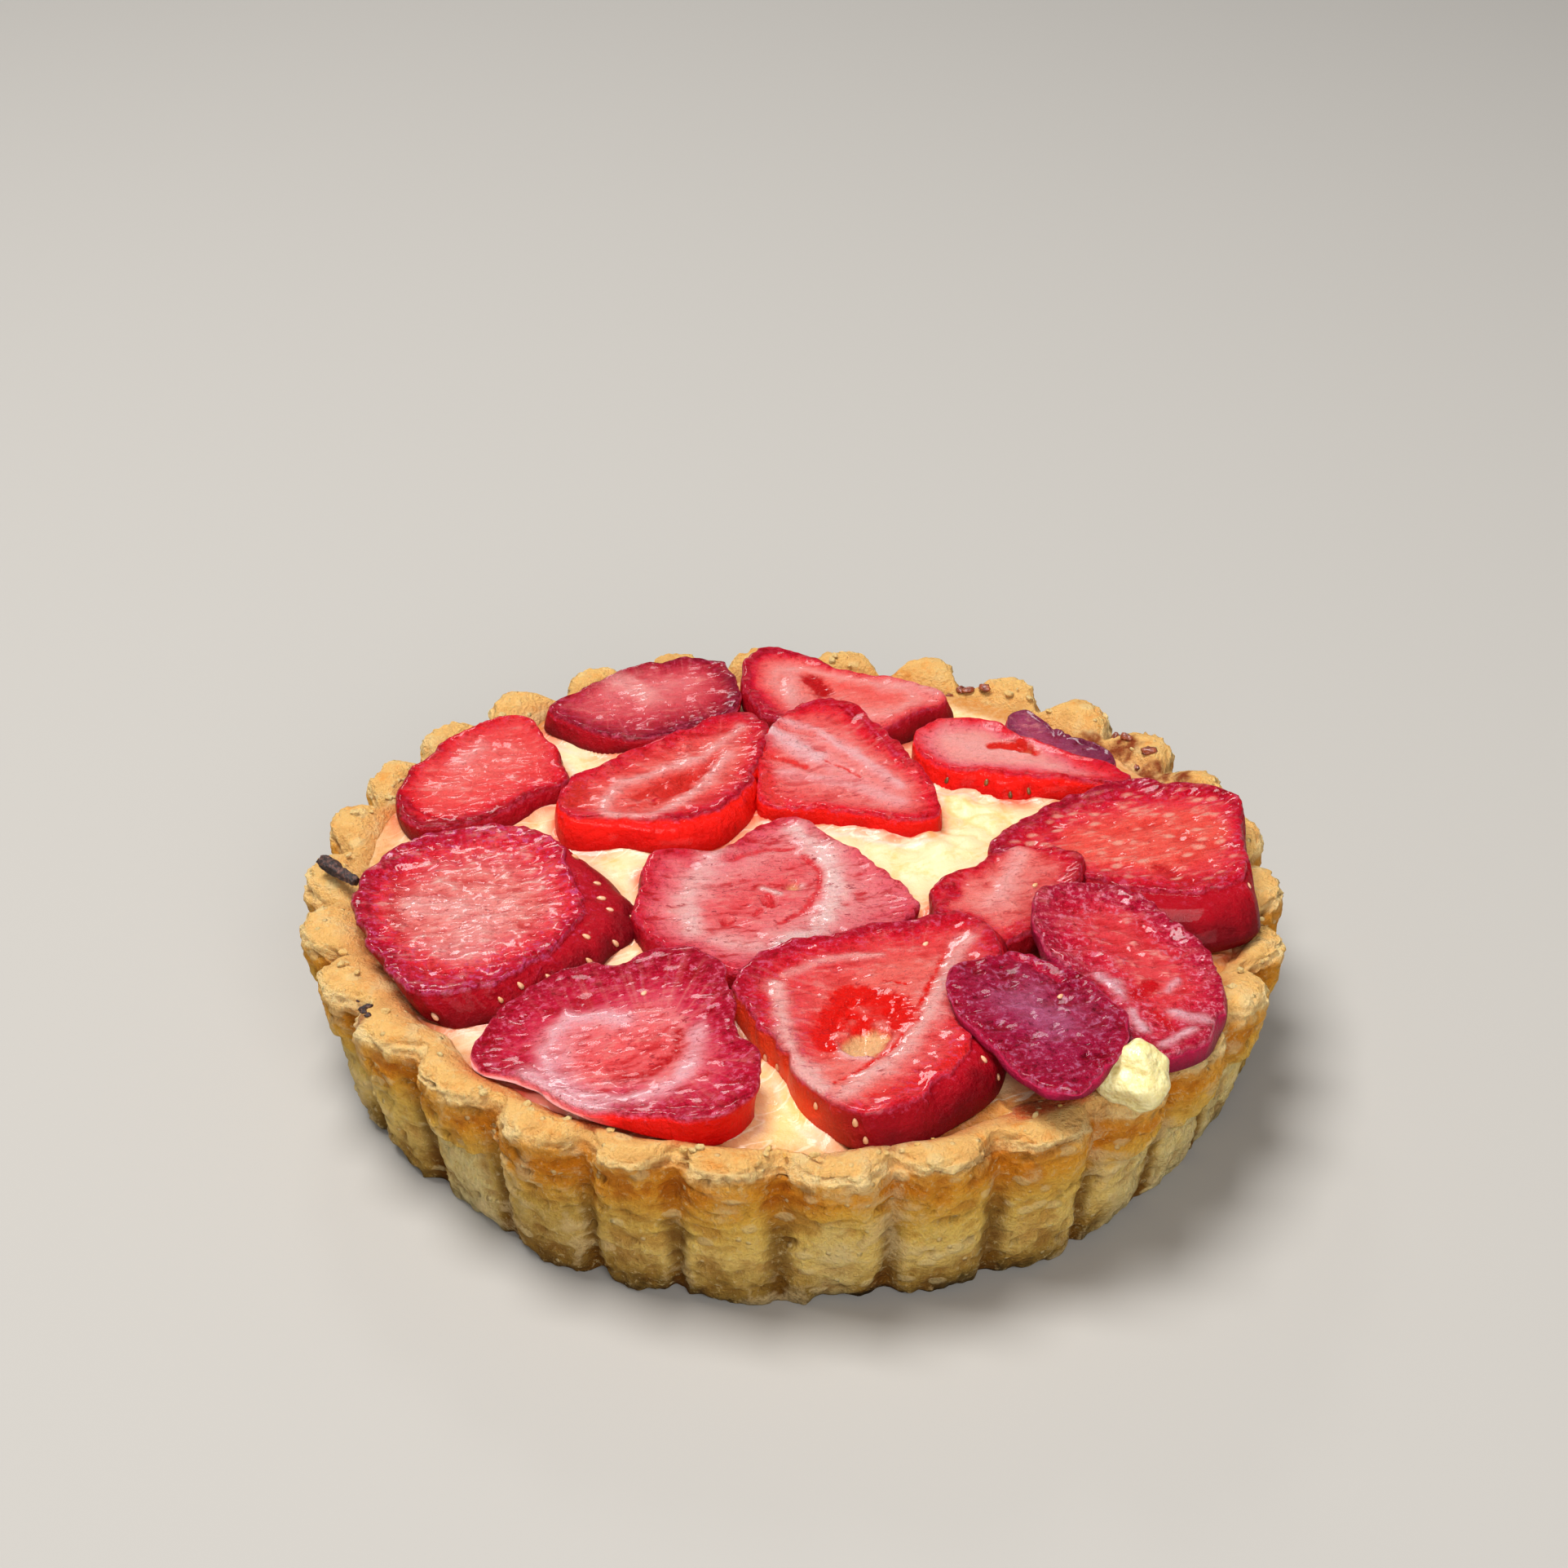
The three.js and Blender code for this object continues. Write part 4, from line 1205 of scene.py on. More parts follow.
            Mark(DARK, ((-9.3, -0.5), (-5.7, 2.8), (-1.9, 6.1)), 0.8, 0.6),
            Mark(DARK, ((7.9, 2.9), (7.2, -2), (5.9, -5.1)), 0.9, 0.7),
            Mark(RED, ((-10.2, -5.9), (-9.5, -2.8)), 1.2, 0.9),
        ),
    ),
    Slice(
        "slice_centre_back", (3.7, 17.6, 20.2), (0, 0.12), 2.4, (0, -0.09), (0, -0.4),
        ((8, 9.2), (33, 8.6), (50, 9.1), (72, 11.4), (91, 12.6), (106, 11.9), (114, 10.6), (156, 7.3),
         (192, 7.2), (223, 9.4), (264, 7.2), (292, 8.6), (320, 14.3), (326, 14.3), (342, 11.8)),
        ((-4.2, 5.7), (6, -5.1)),
        CutStrawberry(
            ((0.0, "ff9c9b"), (0.2, "ff8a85"), (0.45, "fe7e79"), (0.65, "f95e5b"), (0.82, "f41c2d"),
             (1.0, "d00021")),
            Sight.BRIGHT, toward=60, bias=0.16, fibre=0.5, mottle=0.25, gleam="fcbcbe", hollow="f03a36",
        ),
        seed_tone=0.7,
        marks=(
            Mark(PALE, ((-6, 6), (-3.4, 4), (-1, 1.7)), 1.1, 1),
            Mark(PALE, ((-5.4, 8.1), (-1.1, 6.9), (0.8, 5)), 0.45, 0.7),
            Mark(PALE, ((-0.4, 5.7), (4, 1.3), (7.7, -3.3)), 0.7, 0.7),
            Mark(PALE, ((-4.5, -1), (1.4, -2.6), (7.6, -6.1)), 0.9, 0.45),
            Mark(RED, ((-6.4, 2), (-4.5, 1.3), (-2.3, 0.1)), 0.6, 0.8),
            Mark(RED, ((-6.4, -1.6), (-6, -4.7), (-4.9, -6.7)), 0.7, 0.95),
            Mark(RED, ((-0.1, 1.3), (2.3, -0.3), (3.6, -1.7)), 0.3, 0.6),
            Mark(RED, ((-5, 6.8), (-1.1, 5.7), (0.6, 4.4)), 0.25, 0.5),
            Mark(DARK, ((-3.8, 10), (-1.1, 11.5), (1.8, 10.9), (4.2, 8), (6.1, 4.8), (7.6, 1.9)), 1.15, 1),
            Mark(DARK, ((8.5, -0.4), (10.3, -3.9)), 0.8, 0.8),
        ),
    ),
    Slice(
        "slice_right_back", (23, 21, 19.8), (0.03, 0.1), 2.6, (0, -0.15), (0, -0.5),
        ((5, 5.8), (25, 4.2), (56, 3.4), (82, 4.4), (140, 9.7), (159, 10.3), (176, 9.4), (212, 5.7),
         (223, 3.9), (249, 3.3), (298, 4.4), (319, 7.1), (333, 13.4), (336, 14.6), (339, 14.2),
         (349, 10.8), (353, 7.7)),
        ((-2.8, 1.2), (2.4, 0.9)),
        CutStrawberry(
            ((0.0, "ffaaa2"), (0.5, "fe9c94"), (0.75, "f9707a"), (0.9, "f62835"), (1.0, "de0825")),
            Sight.BRIGHT, toward=-15, bias=0.05, fibre=0.2, mottle=0.15, crack=0.1, hollow="e8281c",
        ),
        (Hollow((1.1, 1.5), 2.0, 0.9, 160, 0.45), Hollow((2.2, 0.8), 1.1, 0.8, 0, 0.5, 1)),
        (Place(-90, 60, 1.6),),
        seeded=0.8, seed_tone=0.75,
        marks=(
            Mark(PALE, ((-6.4, 3.9), (-2.4, 0.4)), 1.2, 0.6),
            Mark(PALE, ((-0.3, -0.5), (8.2, -3.9)), 0.7, 0.5),
            Mark(RED, ((-1.4, 1.7), (1.8, 2.2), (3.1, 0.3)), 0.5, 1),
            Mark(PALE, ((0.9, 0.4), (1.7, 0.2)), 0.6, 1),
        ),
    ),
    Slice(
        "slice_big_left", (-31, -9.9, 20), (0, 0), 3.8, (0, 0), (2.8, -0.4),
        ((27, 10.3), (43, 11.5), (53, 13.1), (76, 15.4), (126, 15.1), (147, 13.3), (202, 11.4),
         (231, 12.8), (247, 15.4), (259, 16.3), (266, 15.1), (284, 14.1), (293, 12.3), (335, 10.2),
         (347, 10.7)),
        ((-4.3, -0.9), (2.7, 0.7)),
        CutStrawberry(
            ((0.0, "f98981"), (0.4, "f77e77"), (0.58, "f45a5f"), (0.74, "f6303d"), (0.86, "dc0e33"),
             (1.0, "b60029")),
            toward=190, bias=0.08, fibre=0.25, mottle=0.75, crack=0.7, crack_turn=12, wet=0.4, crest=1.0,
            frost="dc5a8c", dusk="a8304c", thread="ffbeb2",
        ),
        skirt=(Place(12, 36, 3), Place(-45, 30, 0.8)), seeded=0.6, ruffle=0.17,
        marks=(
            Mark(RED, ((-8.5, 5.9), (-8.6, 0.4), (-6.8, -5.7)), 1.2, 0.5),
            Mark(RED, ((-7.7, 7.5), (-2.9, 9.4), (1.2, 9.7)), 0.9, 0.4),
            Mark(RED, ((-4.5, -10.8), (-4, -11.4)), 0.9, 0.6),
            Mark(DARK, ((-11.4, 3.2), (-9.9, -3.5), (-7.8, -10.7)), 1.1, 0.9),
            Mark(PALE, ((-5.3, 0.9), (1.3, -1.3), (-1.3, -7.2)), 2.6, 0.55),
            Mark(DARK, ((-6.4, 10.9), (1.7, 12.5), (7.8, 9)), 1, 0.75),
        ),
    ),
    Slice(
        "slice_back_left", (-16.1, 33.1, 19.6), (0, 0.1), 2.6, (0, 0), (-0.3, -0.3),
        ((43, 11.4), (63, 10.2), (75, 8.3), (97, 7.2), (144, 6.6), (169, 8.4), (188, 11.3), (208, 9),
         (244, 7.6), (307, 6.9), (348, 9.9)),
        ((-4.5, 1.3), (4.1, 4.1)),
        CutStrawberry(
            ((0.0, "ee7478"), (0.3, "ea6066"), (0.55, "d8404e"), (0.8, "b6142e"), (1.0, "8a082a")),
            toward=-10, bias=0.1, fibre=0.45, mottle=0.4, crack=0.2, slot="dark_strawberry",
        ),
        seeded=0.15,
        marks=(
            Mark(PALE, ((-3.2, 4.1), (-0.2, 1.5)), 1.5, 0.8),
            Mark(DARK, ((7.7, 6.6), (9.8, 3), (9.3, -0.3)), 1.6, 0.9),
            Mark(DARK, ((-10.8, -1.4), (-9, -2.5)), 1.3, 0.95),
            Mark(DARK, ((-8.1, -3.5), (-2.7, -6.8), (1, -6.9)), 0.8, 0.8),
        ),
    ),
    Slice(
        "slice_left_rear", (-32.4, 16.3, 19.4), (-0.03, 0.06), 2.6, (0, 0), (0.6, -0.4),
        ((0, 8.6), (26, 8.4), (66, 11), (73, 12.8), (83, 12.6), (120, 9), (143, 7.8), (182, 8.7),
         (194, 9.9), (228, 11.2), (238, 10.9), (261, 8.4), (292, 6.4), (324, 5.6), (339, 6.3)),
        ((-3.6, -1), (2.8, 6)),
        CutStrawberry(CORAL, toward=250, bias=0.08, fibre=0.2, mottle=0.3, crack=0.3),
        seeded=0.15,
        marks=(
            Mark(DARK, ((-9.2, -2.5), (-7.4, -5.8), (-4.6, -7.7), (-0.8, -7.8)), 1, 0.9),
            Mark(DARK, ((6.7, 7.5), (8, 2.7), (6.4, -1.2)), 0.9, 0.9),
            Mark(PALE, ((-1, 6.4), (-3.5, 2.8)), 1, 0.5),
        ),
    ),
    Slice(
        "slice_back", (4.8, 32.4, 20.2), (0, 0.1), 3, (0, 0), (0.3, -0.3),
        ((4, 12.9), (17, 10.1), (40, 7.1), (63, 5.9), (84, 5.9), (102, 7.6), (112, 9.7), (125, 13.3),
         (131, 13.7), (172, 10.1), (227, 6.4), (260, 5.7), (293, 6.4), (346, 9.4), (357, 12.7)),
        ((-3.5, 4.6), (6, 1)),
        CutStrawberry(
            ((0.0, "ff6058"), (0.3, "ff766c"), (0.5, "ff9890"), (0.75, "fa5c5a"), (0.9, "ec1431"),
             (1.0, "be0025")),
            toward=150, bias=0.16, fibre=0.3, mottle=0.2, crack=0.2,
        ),
        seeded=0.1,
        marks=(
            Mark(DARK, ((-9, 7.9), (-9, 1.3), (-7.8, -1.9)), 1.3, 0.75),
            Mark(PALE, ((-4.9, 6.2), (-5.1, 1.3), (-4.4, -2.2)), 0.9, 0.7),
            Mark(PALE, ((5.2, 2.6), (8.8, 2.8), (11.5, 1)), 0.9, 0.6),
            Mark(RED, ((-2.5, 4.2), (-1.2, 2)), 1.2, 0.9),
        ),
    ),
    Slice(
        "slice_jammy", (28.9, 25.6, 19.2), (0, 0.15), 1.6, (0, 0), (0, 0),
        ((10, 1.7), (102, 1.6), (116, 3.6), (120, 5.7), (132, 6.3), (154, 6.2), (185, 4.6), (224, 3.7),
         (269, 4.2), (296, 5.9), (313, 7.6), (326, 7.5), (335, 6.1), (341, 3.8)),
        ((-3.9, 2.8), (-1.4, -0.1)),
        CutStrawberry(
            ((0.0, "b8506c"), (0.5, "a44064"), (1.0, "7c2848")), Sight.PURPLE,
            fibre=0.1, mottle=0.2, wet=0.7, frost="a85a70", slot="dark_strawberry",
        ),
    ),
    Slice(
        "slice_big_right", (35.4, 4, 20.7), (0.14, 0), 3.6, (0.12, 0), (0.3, -3.2),
        ((14, 10.9), (37, 10.8), (65, 9.1), (100, 9.9), (121, 9.3), (158, 12.1), (182, 15.5), (187, 15.5),
         (191, 12.8), (198, 10.7), (218, 9.7), (250, 10.7), (274, 12.6), (286, 14.1), (307, 15.5),
         (327, 11.4), (348, 10.2)),
        ((-5.8, -3.6), (6.7, -2.5)),
        CutStrawberry(
            ((0.0, "ff5e50"), (0.4, "fe564a"), (0.62, "f63c46"), (0.78, "e60c2e"), (1.0, "b20028")),
            toward=120, bias=0.1, fibre=0.2, mottle=0.6, dashes=0.85, crack=0.5, crest=0.7, wet=0.5,
            thread="fda692",
        ),
        skirt=(Place(-80, 32, 2.2),), seed_tone=0.1, ruffle=0.15,
        marks=(
            Mark(DARK, ((-5.5, 8.4), (-0.4, 8.7), (4.5, 7.5), (8.5, 5.2), (10.2, 2.1)), 1.4, 0.95),
            Mark(DARK, ((-14.7, 0.3), (-10.9, 2.3), (-7.6, 3.7), (-9, -0.4)), 1.6, 0.75),
            Mark(DARK, ((-4.9, -8), (-0.9, -11.8), (2.7, -14.7), (6.7, -15), (8.9, -12.6)), 0.6, 0.9),
            Mark(RED, ((1.1, -7.8), (3.5, -11.4), (7.3, -11.4)), 1.3, 0.6),
        ),
    ),
    Slice(
        "slice_centre_pale", (-2.4, -7, 19.4), (0, 0), 2.4, (0, 0), (-0.3, -0.3),
        ((2, 14.5), (21, 12.7), (58, 12.5), (80, 15.5), (87, 14.9), (106, 11.1), (116, 9.9), (125, 9.8),
         (143, 14.2), (149, 14.5), (168, 12.8), (213, 13.9), (265, 13.9), (303, 11.6), (321, 12),
         (336, 13.3), (346, 15)),
        ((-4.6, -3), (2.9, 4.6)),
        CutStrawberry(
            ((0.0, "f4585c"), (0.22, "f6666a"), (0.38, "f87a7c"), (0.52, "fa8c8c"), (0.66, "f88084"),
             (0.82, "f46670"), (0.92, "ec4858"), (1.0, "e02038")),
            toward=170, bias=0.1, fibre=0.4, mottle=0.25, crack=0.9, gleam="ffccc6", hollow="e8383e",
        ),
        (Hollow((0.1, -0.8), 1.3, 0.8, 120, 0.9), Hollow((-4.1, -4.5), 1, 0.6, 30, 0.7),
         Hollow((2.5, 2.3), 1.2, 0.9, 0, 0.3, 1)),
        seeded=0,
        marks=(
            Mark(PALE, ((2.7, 12.3), (5.6, 8.2), (6.6, 3.4), (6.3, -1.8), (4.6, -6.3),
                  (1.4, -9.1)), 1.3, 0.95),
            Mark(PALE, ((-5, 8.2), (-7.1, 4.3), (-7.8, -0.3), (-7.3, -6.3)), 1.2, 0.65),
            Mark(PALE, ((-4.9, -8), (-0.9, -9.3)), 1.1, 0.45),
            Mark(PALE, ((-0.6, 1.8), (1.1, 0.5)), 0.5, 0.8),
            Mark(PALE, ((2.6, 2.3), (3.1, 2.3)), 0.6, 1),
            Mark(RED, ((-3.5, 7.1), (-0.2, 9.2), (2.4, 9.2)), 0.5, 0.7),
            Mark(RED, ((3.6, 7.4), (5.2, 4.9), (5, 1.2), (3.5, -2.4), (1.1, -4.8)), 0.55, 0.75),
            Mark(RED, ((-0, 0.6), (0.5, -1.4)), 0.45, 1),
            Mark(RED, ((-4.5, -4.3), (-3.7, -4.3)), 0.45, 1),
            Mark(RED, ((-1.3, -3.2), (-0.7, -2.1)), 0.35, 1),
            Mark(DARK, ((-12, 6.6), (-12.3, 0.9), (-11.5, -6.3)), 0.9, 0.85),
            Mark(DARK, ((12.2, 0.9), (13.2, -1.8)), 1.3, 0.65),
        ),
    ),
)


@dataclass(frozen=True)
class Filling:
    """The custard."""

    level: float = 16.2
    dome: float = 0.9
    lump: float = 0.32
    edge: float = 45.0
    across: int = 300
    fillet: float = 0.55

    def plain_top(self, x: np.ndarray, y: np.ndarray) -> np.ndarray:
        """The height of its lumpy top, without its fine relief."""
        dome = self.dome * (1 - (x * x + y * y) / self.edge**2)
        fine = np.sin(x / 2.7 + 1.2) * np.sin(y / 2.9 + 0.4)
        broad = np.sin((x + y) / 4.3) * np.sin((x - y) / 3.6)
        calm = np.clip((self.edge - np.hypot(x, y)) / 8, 0, 1)
        return self.level + dome + self.lump * (fine + 0.6 * broad) * calm

    def build(self, berries: list[Berry]) -> bpy.types.Object:
        """The custard with wet edges where it meets the berries.

        Args:
            berries: What lies on it.

        Returns:
            The piece, replacing the plain one.
        """
        share = np.linspace(-1, 1, self.across)
        u, v = np.meshgrid(share, share)
        x = (u * np.sqrt(1 - v * v / 2)).ravel() * self.edge
        y = (v * np.sqrt(1 - u * u / 2)).ravel() * self.edge
        flat = np.stack([x, y], -1)
        near = np.full(len(x), FAR)
        for berry in berries:
            near = np.minimum(near, berry.distance(flat))
        z = self.plain_top(x, y)
        solid = np.stack([x, y, z], -1)
        curds = patch(x, y, (15, 13), (10, 8))
        skin = patch(x, y, (1, -39), (9, 6))
        pale = patch(x, y, (-28, -33), (8, 5)) + patch(x, y, (16.5, -41), (2.6, 1.6))
        slack = patch(x, y, (18, -41), (11, 5))
        lumps = np.abs(noise(solid, 3.0, 42, 2))
        z = z + 0.2 * noise(solid, 2.6, 41, 2) + curds * 1.1 * lumps
        z = z + skin * 0.22 * (1 - np.abs(noise(solid, (5.5, 1.3, 9), 43)))
        open_space = np.maximum(near, 0)
        z = z + self.fillet * np.exp(-open_space / 0.55) - 0.5 * smooth(0.0, -0.8, near)
        # A thin raised film round the berries; its whitening below is a painted highlight of its wet edge.
        film = np.exp(-(((open_space - 0.95 - 0.35 * noise(solid, 2.2, 49)) / 0.3) ** 2))
        film = film * smooth(-0.1, 0.5, noise(solid, 6.0, 50)) * (1 - 0.7 * np.minimum(skin, 1))
        rim = np.hypot(x, y)
        z = z + 0.14 * film + 0.45 * smooth(self.edge - 3.5, self.edge - 0.8, rim) * noise(solid, 4.0, 48, 2)
        foam = patch(x, y, (-23, -38), (5, 3.5))
        z = z + 1.5 * foam
        sink = smooth(self.edge - 1.1, self.edge, rim)
        z = z * (1 - sink) + (self.level - 0.1) * sink
        plain = np.maximum(0, 1 - 1.2 * skin - foam)
        baked = smooth(self.edge - 5.0, self.edge - 2.0, rim) * (0.9 + 0.4 * noise(solid, 5.0, 47)) * plain
        juice = 0.8 * np.exp(-open_space / 1.15) + 0.12 * np.exp(-open_space / 3.0)
        juice = juice * (1 - 0.6 * np.minimum(slack, 1))
        juice = juice * (1 - 0.95 * np.minimum(skin, 1)) * (0.8 + 0.5 * noise(solid, 4.0, 44, 2))
        # Painted shade: amber in the dips between the curds.
        trough_shade = 0.8 * curds * smooth(0.16, 0.0, lumps)
        # A whitish line hugging the berries: a painted highlight of the wet meniscus.
        lips = np.exp(-open_space / 0.8) * smooth(0.1, 0.6, noise(solid, 3, 46))
        gloss = 0.25 + skin + slack + 0.6 * np.exp(-open_space / 1.5) + 0.4 * film - 0.3 * curds - 0.4 * baked
        fields = {
            "juice": np.clip(juice, 0, 1),
            "amber": np.clip(skin * (0.4 + 0.6 * noise(solid, 5.0, 45)) + 0.8 * slack + trough_shade, 0, 1),
            "baked": np.clip(baked + 0.5 * slack, 0, 1),
            # white: pale glaze and foam, with the painted highlight of the wet line and film round the
            # berries
            "white": np.clip(pale * 0.8 + foam + 0.5 * lips + 0.75 * film, 0, 1),
            "gloss": np.clip(gloss, 0, 1),
        }
        n = self.across
        grid = np.arange(n * n).reshape(n, n)
        faces = [tuple(quad) for quad in np.stack(
            [grid[:-1, :-1], grid[:-1, 1:], grid[1:, 1:], grid[1:, :-1]], -1).reshape(-1, 4).tolist()]
        border = np.concatenate([grid[0, :-1], grid[:-1, -1], grid[-1, :0:-1], grid[:0:-1, 0]])
        skirt = np.stack([x[border] * 0.985, y[border] * 0.985, np.full(len(border), self.level - 2)], -1)
        first = n * n
        count = len(border)
        for k in range(count):
            after = (k + 1) % count
            faces.append((int(border[after]), int(border[k]), first + k, first + after))
            faces.append((first + after, first + k, first + count))
        points = np.vstack([np.stack([x, y, z], -1), skirt, [0, 0, self.level - 2]])
        padded = {label: np.concatenate([values, np.zeros(count + 1)]) for label, values in fields.items()}
        made = Surface(points, faces, padded).piece("custard_filling", SetCustard())
        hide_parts("custard")
        return made


@dataclass
class Berry:
    """Builds one slice: its face, its skin and the places of its seeds."""

    cut: Slice
    index: int
    filling: Filling
    columns: int = 196
    face_rings: int = 40
    side_rings: int = 14
    bevel: float = 0.3
    bulge: float = 0.3
    ragged: float = 0.22
    rim_insets: tuple[float, ...] = (0.12, 0.3, 0.55, 0.9)  # how far in the face's outer rings lie
    bleed_and_glow_toward: float = 208.0  # the side on which the skin turns to its end colour, partly a painted glow, in degrees

    def __post_init__(self) -> None:
        """Settles the outline and the seeds' places."""
        self.angles = TAU * np.arange(self.columns) / self.columns
        self.seeds = self._seed_places()

    def edge(self, angle: np.ndarray) -> np.ndarray:
        """The distance from the centre to the ragged edge of the face."""
        reach = self.cut.reach_at(angle) + self.ragged * unevenness(angle, self.index + 20)
        own_level = np.full_like(angle, self.index * 9.0)
        rim = np.stack([reach * np.cos(angle), reach * np.sin(angle), own_level], -1)
        ragged = 0.34 * noise(rim, 1.6, 51) + 0.3 * noise(rim, 0.7, 52)
        return reach + ragged * np.minimum(1, reach / 9)

    def side(self, angle: np.ndarray, drop: np.ndarray) -> np.ndarray:
        """A point on the skin.

        Args:
            angle: Round the slice.
            drop: From 0 at the face to 1 at the underside.

        Returns:
            The point.
        """
        cx, cy, _ = self.cut.at
        skirt = self.bulge * min(1.0, self.cut.thick / 3) + set_in(self.cut.skirt, angle)
        out = skirt * np.sin(math.pi / 2 * np.minimum(drop / 0.8, 1)) - 0.9 * smooth(0.85, 1.0, drop)
        even = self.cut.reach_at(angle)
        radius = even + (self.edge(angle) - even) * smooth(0.7, 0.0, drop) + out
        fx, fy = radius * np.cos(angle), radius * np.sin(angle)
        dx, dy = fx + drop * self.cut.lean[0], fy + drop * self.cut.lean[1]
        top = self.cut.face(fx, fy) - self.bevel * 0.4
        wedge = self.cut.wedge[0] * fx + self.cut.wedge[1] * fy
        thick = np.maximum(self.cut.thinnest, self.cut.thick + wedge)
        sunk = np.maximum(self.cut.face(fx, fy) - thick, self.filling.plain_top(cx + dx, cy + dy) - 0.25)
        round_share = smooth(0.6, 2.0, skirt)
        fall = drop * (1 - round_share) + (1 - np.cos(math.pi / 2 * drop)) * round_share
        return np.stack([cx + dx, cy + dy, np.minimum(top - 0.2, top + (sunk - top) * fall)], -1)

    def _seed_places(self) -> list[tuple[np.ndarray, np.ndarray, np.ndarray, float]]:
        """Seeds in staggered rows on the skin: each one's place, outward and upward directions, and size."""
        rng = np.random.default_rng(100 + self.index)
        found = []
        length = self.cut.thick
        rows = max(1, round(length / 1.9))
        for row in range(rows):
            count = int(TAU * np.mean(self.cut.reach_at(self.angles)) / 3.1)
            for k in range(count):
                turn = TAU * (k + 0.5 * (row % 2) + rng.uniform(-0.3, 0.3)) / count
                drop = (row + 0.75 + rng.uniform(-0.25, 0.25)) / (rows + 0.6)
                if rng.uniform() > self.cut.seeded:
                    continue
                angle, fall = np.array([turn]), np.array([drop])
                here = self.side(angle, fall)[0]
                along = self.side(angle + 0.02, fall)[0] - here
                up = here - self.side(angle, fall + 0.05)[0]
                outward = np.cross(along, up)
                size = rng.uniform(0.8, 1.15)
                found.append((here, outward / np.linalg.norm(outward), up / np.linalg.norm(up), size))
        for x, y in self.cut.flecks:
            place = np.array([self.cut.at[0] + x, self.cut.at[1] + y, self.cut.face(x, y) + 0.1])
            found.append((place, np.array([0, 0, 1.0]), np.array([0.6, 0.8, 0]), 0.9))
        return found

    def distance(self, flat: np.ndarray) -> np.ndarray:
        """The distance from flat places to the slice's foot, below 0 under it."""
        cx, cy, _ = self.cut.at
        foot = self.side(self.angles[::2], np.full(self.columns // 2, 0.7))[:, :2]
        found = np.full(len(flat), FAR)
        reach = max(self.cut.reach_at(self.angles)) + 8
        close = np.hypot(flat[:, 0] - cx, flat[:, 1] - cy) < reach
        away = line_distance(flat[close], np.vstack([foot, foot[:1]]))
        centre = foot.mean(0)
        turn = np.arctan2(foot[:, 1] - centre[1], foot[:, 0] - centre[0]) % TAU
        order = np.argsort(turn)
        radii = np.hypot(*(foot - centre).T)
        here = flat[close] - centre
        edge = np.interp(np.arctan2(here[:, 1], here[:, 0]) % TAU, turn[order], radii[order], period=TAU)
        inside = np.hypot(here[:, 0], here[:, 1]) < edge
        found[close] = np.where(inside, -away, away)
        return found

    def build(self) -> bpy.types.Object:
        """The slice, replacing the plain one."""
        cut, angles = self.cut, self.angles
        cx, cy, _ = cut.at
        edge = self.edge(angles)
        drops = np.linspace(1.0, 0.0, self.side_rings)
        side = np.stack([self.side(angles, np.full_like(angles, drop)) for drop in drops])
        for here, outward, _, size in self.seeds:
            if here[2] > cut.face(*(here[:2] - (cx, cy))) - 0.1:
                continue
            away = np.linalg.norm(side - here, axis=-1)
            side -= outward * (0.42 * size * np.exp(-((away / 0.7) ** 2)))[..., None]
        under = side[0].mean(0)
        low = np.stack([under + (side[0] - under) * share for share in (0.35, 0.7)])
        outer = np.clip(1 - np.array(self.rim_insets)[:, None] / edge[None], 0.02, 1)
        steps = np.linspace(0, 1, self.face_rings - 1)[1:, None]
        inner = (1 - self.rim_insets[-1] / edge)[None] * (1 - steps * 0.97)
        shares = np.vstack([outer, inner])
        fx, fy = shares * edge * np.cos(angles), shares * edge * np.sin(angles)
        spots = np.stack([fx + cx, fy + cy, np.full_like(fx, self.index * 7.0)], -1)
        inset = (1 - shares) * edge
        round_off = self.bevel * np.maximum(0, 1 - inset / 0.4) ** 2
        grain = turned(spots, -math.radians(cut.finish.crack_turn))
        creased = 0.8 - 2.2 * np.abs(noise(grain, (3.0, 1.1, 9), 61, 2))
        lift = 0.75 * creased + 0.6 * noise(spots, 1.3, 62, 2)
        wander = noise(spots, 1.4, 65, 2)
        flat = np.stack([fx, fy], -1).reshape(-1, 2)
        tints = {tint.value: np.zeros_like(fx) for tint in Tint}
        for mark in cut.marks:
            shown = mark.share_at(flat, wander.ravel()).reshape(fx.shape)
            tints[mark.tint.value] = np.maximum(tints[mark.tint.value], shown)
        relief = cut.ruffle * lift * smooth(0.0, 0.6, inset) + 0.12 * noise(spots, 5, 63)
        relief = relief + 0.15 * tints["pale"] - 0.2 * tints["red"] - 0.25 * (1 - shares**2)
        relief = relief + cut.curl * smooth(0.7, 1.0, shares) * (1 + 0.8 * noise(spots, 2.2, 66))
        pocket, tone = np.zeros_like(fx), np.zeros_like(fx)
        for hollow in cut.hollows:
            depth = hollow.depth_at(fx, fy)
            torn = np.clip(depth + 0.4 * noise(spots, 1.3, 64, 2) * (depth > 0), 0, None)
            tone = np.maximum(tone, hollow.tone * smooth(0.1, 0.9, torn))
            pocket = pocket + torn
        z = cut.face(fx, fy) - round_off + relief - pocket
        face = np.stack([fx + cx, fy + cy, z], -1)
        side[-1, :, 2] = np.minimum(side[-1, :, 2], face[0, :, 2] - 0.1)
        rings = np.vstack([low, side, face])
        centre = face[-1].mean(0)
        looks = {"hollow": smooth(0.1, 0.6, pocket), "tone": tone, "lift": lift, **tints}
        return self._dress(rings, len(low), under, centre, shares, looks)

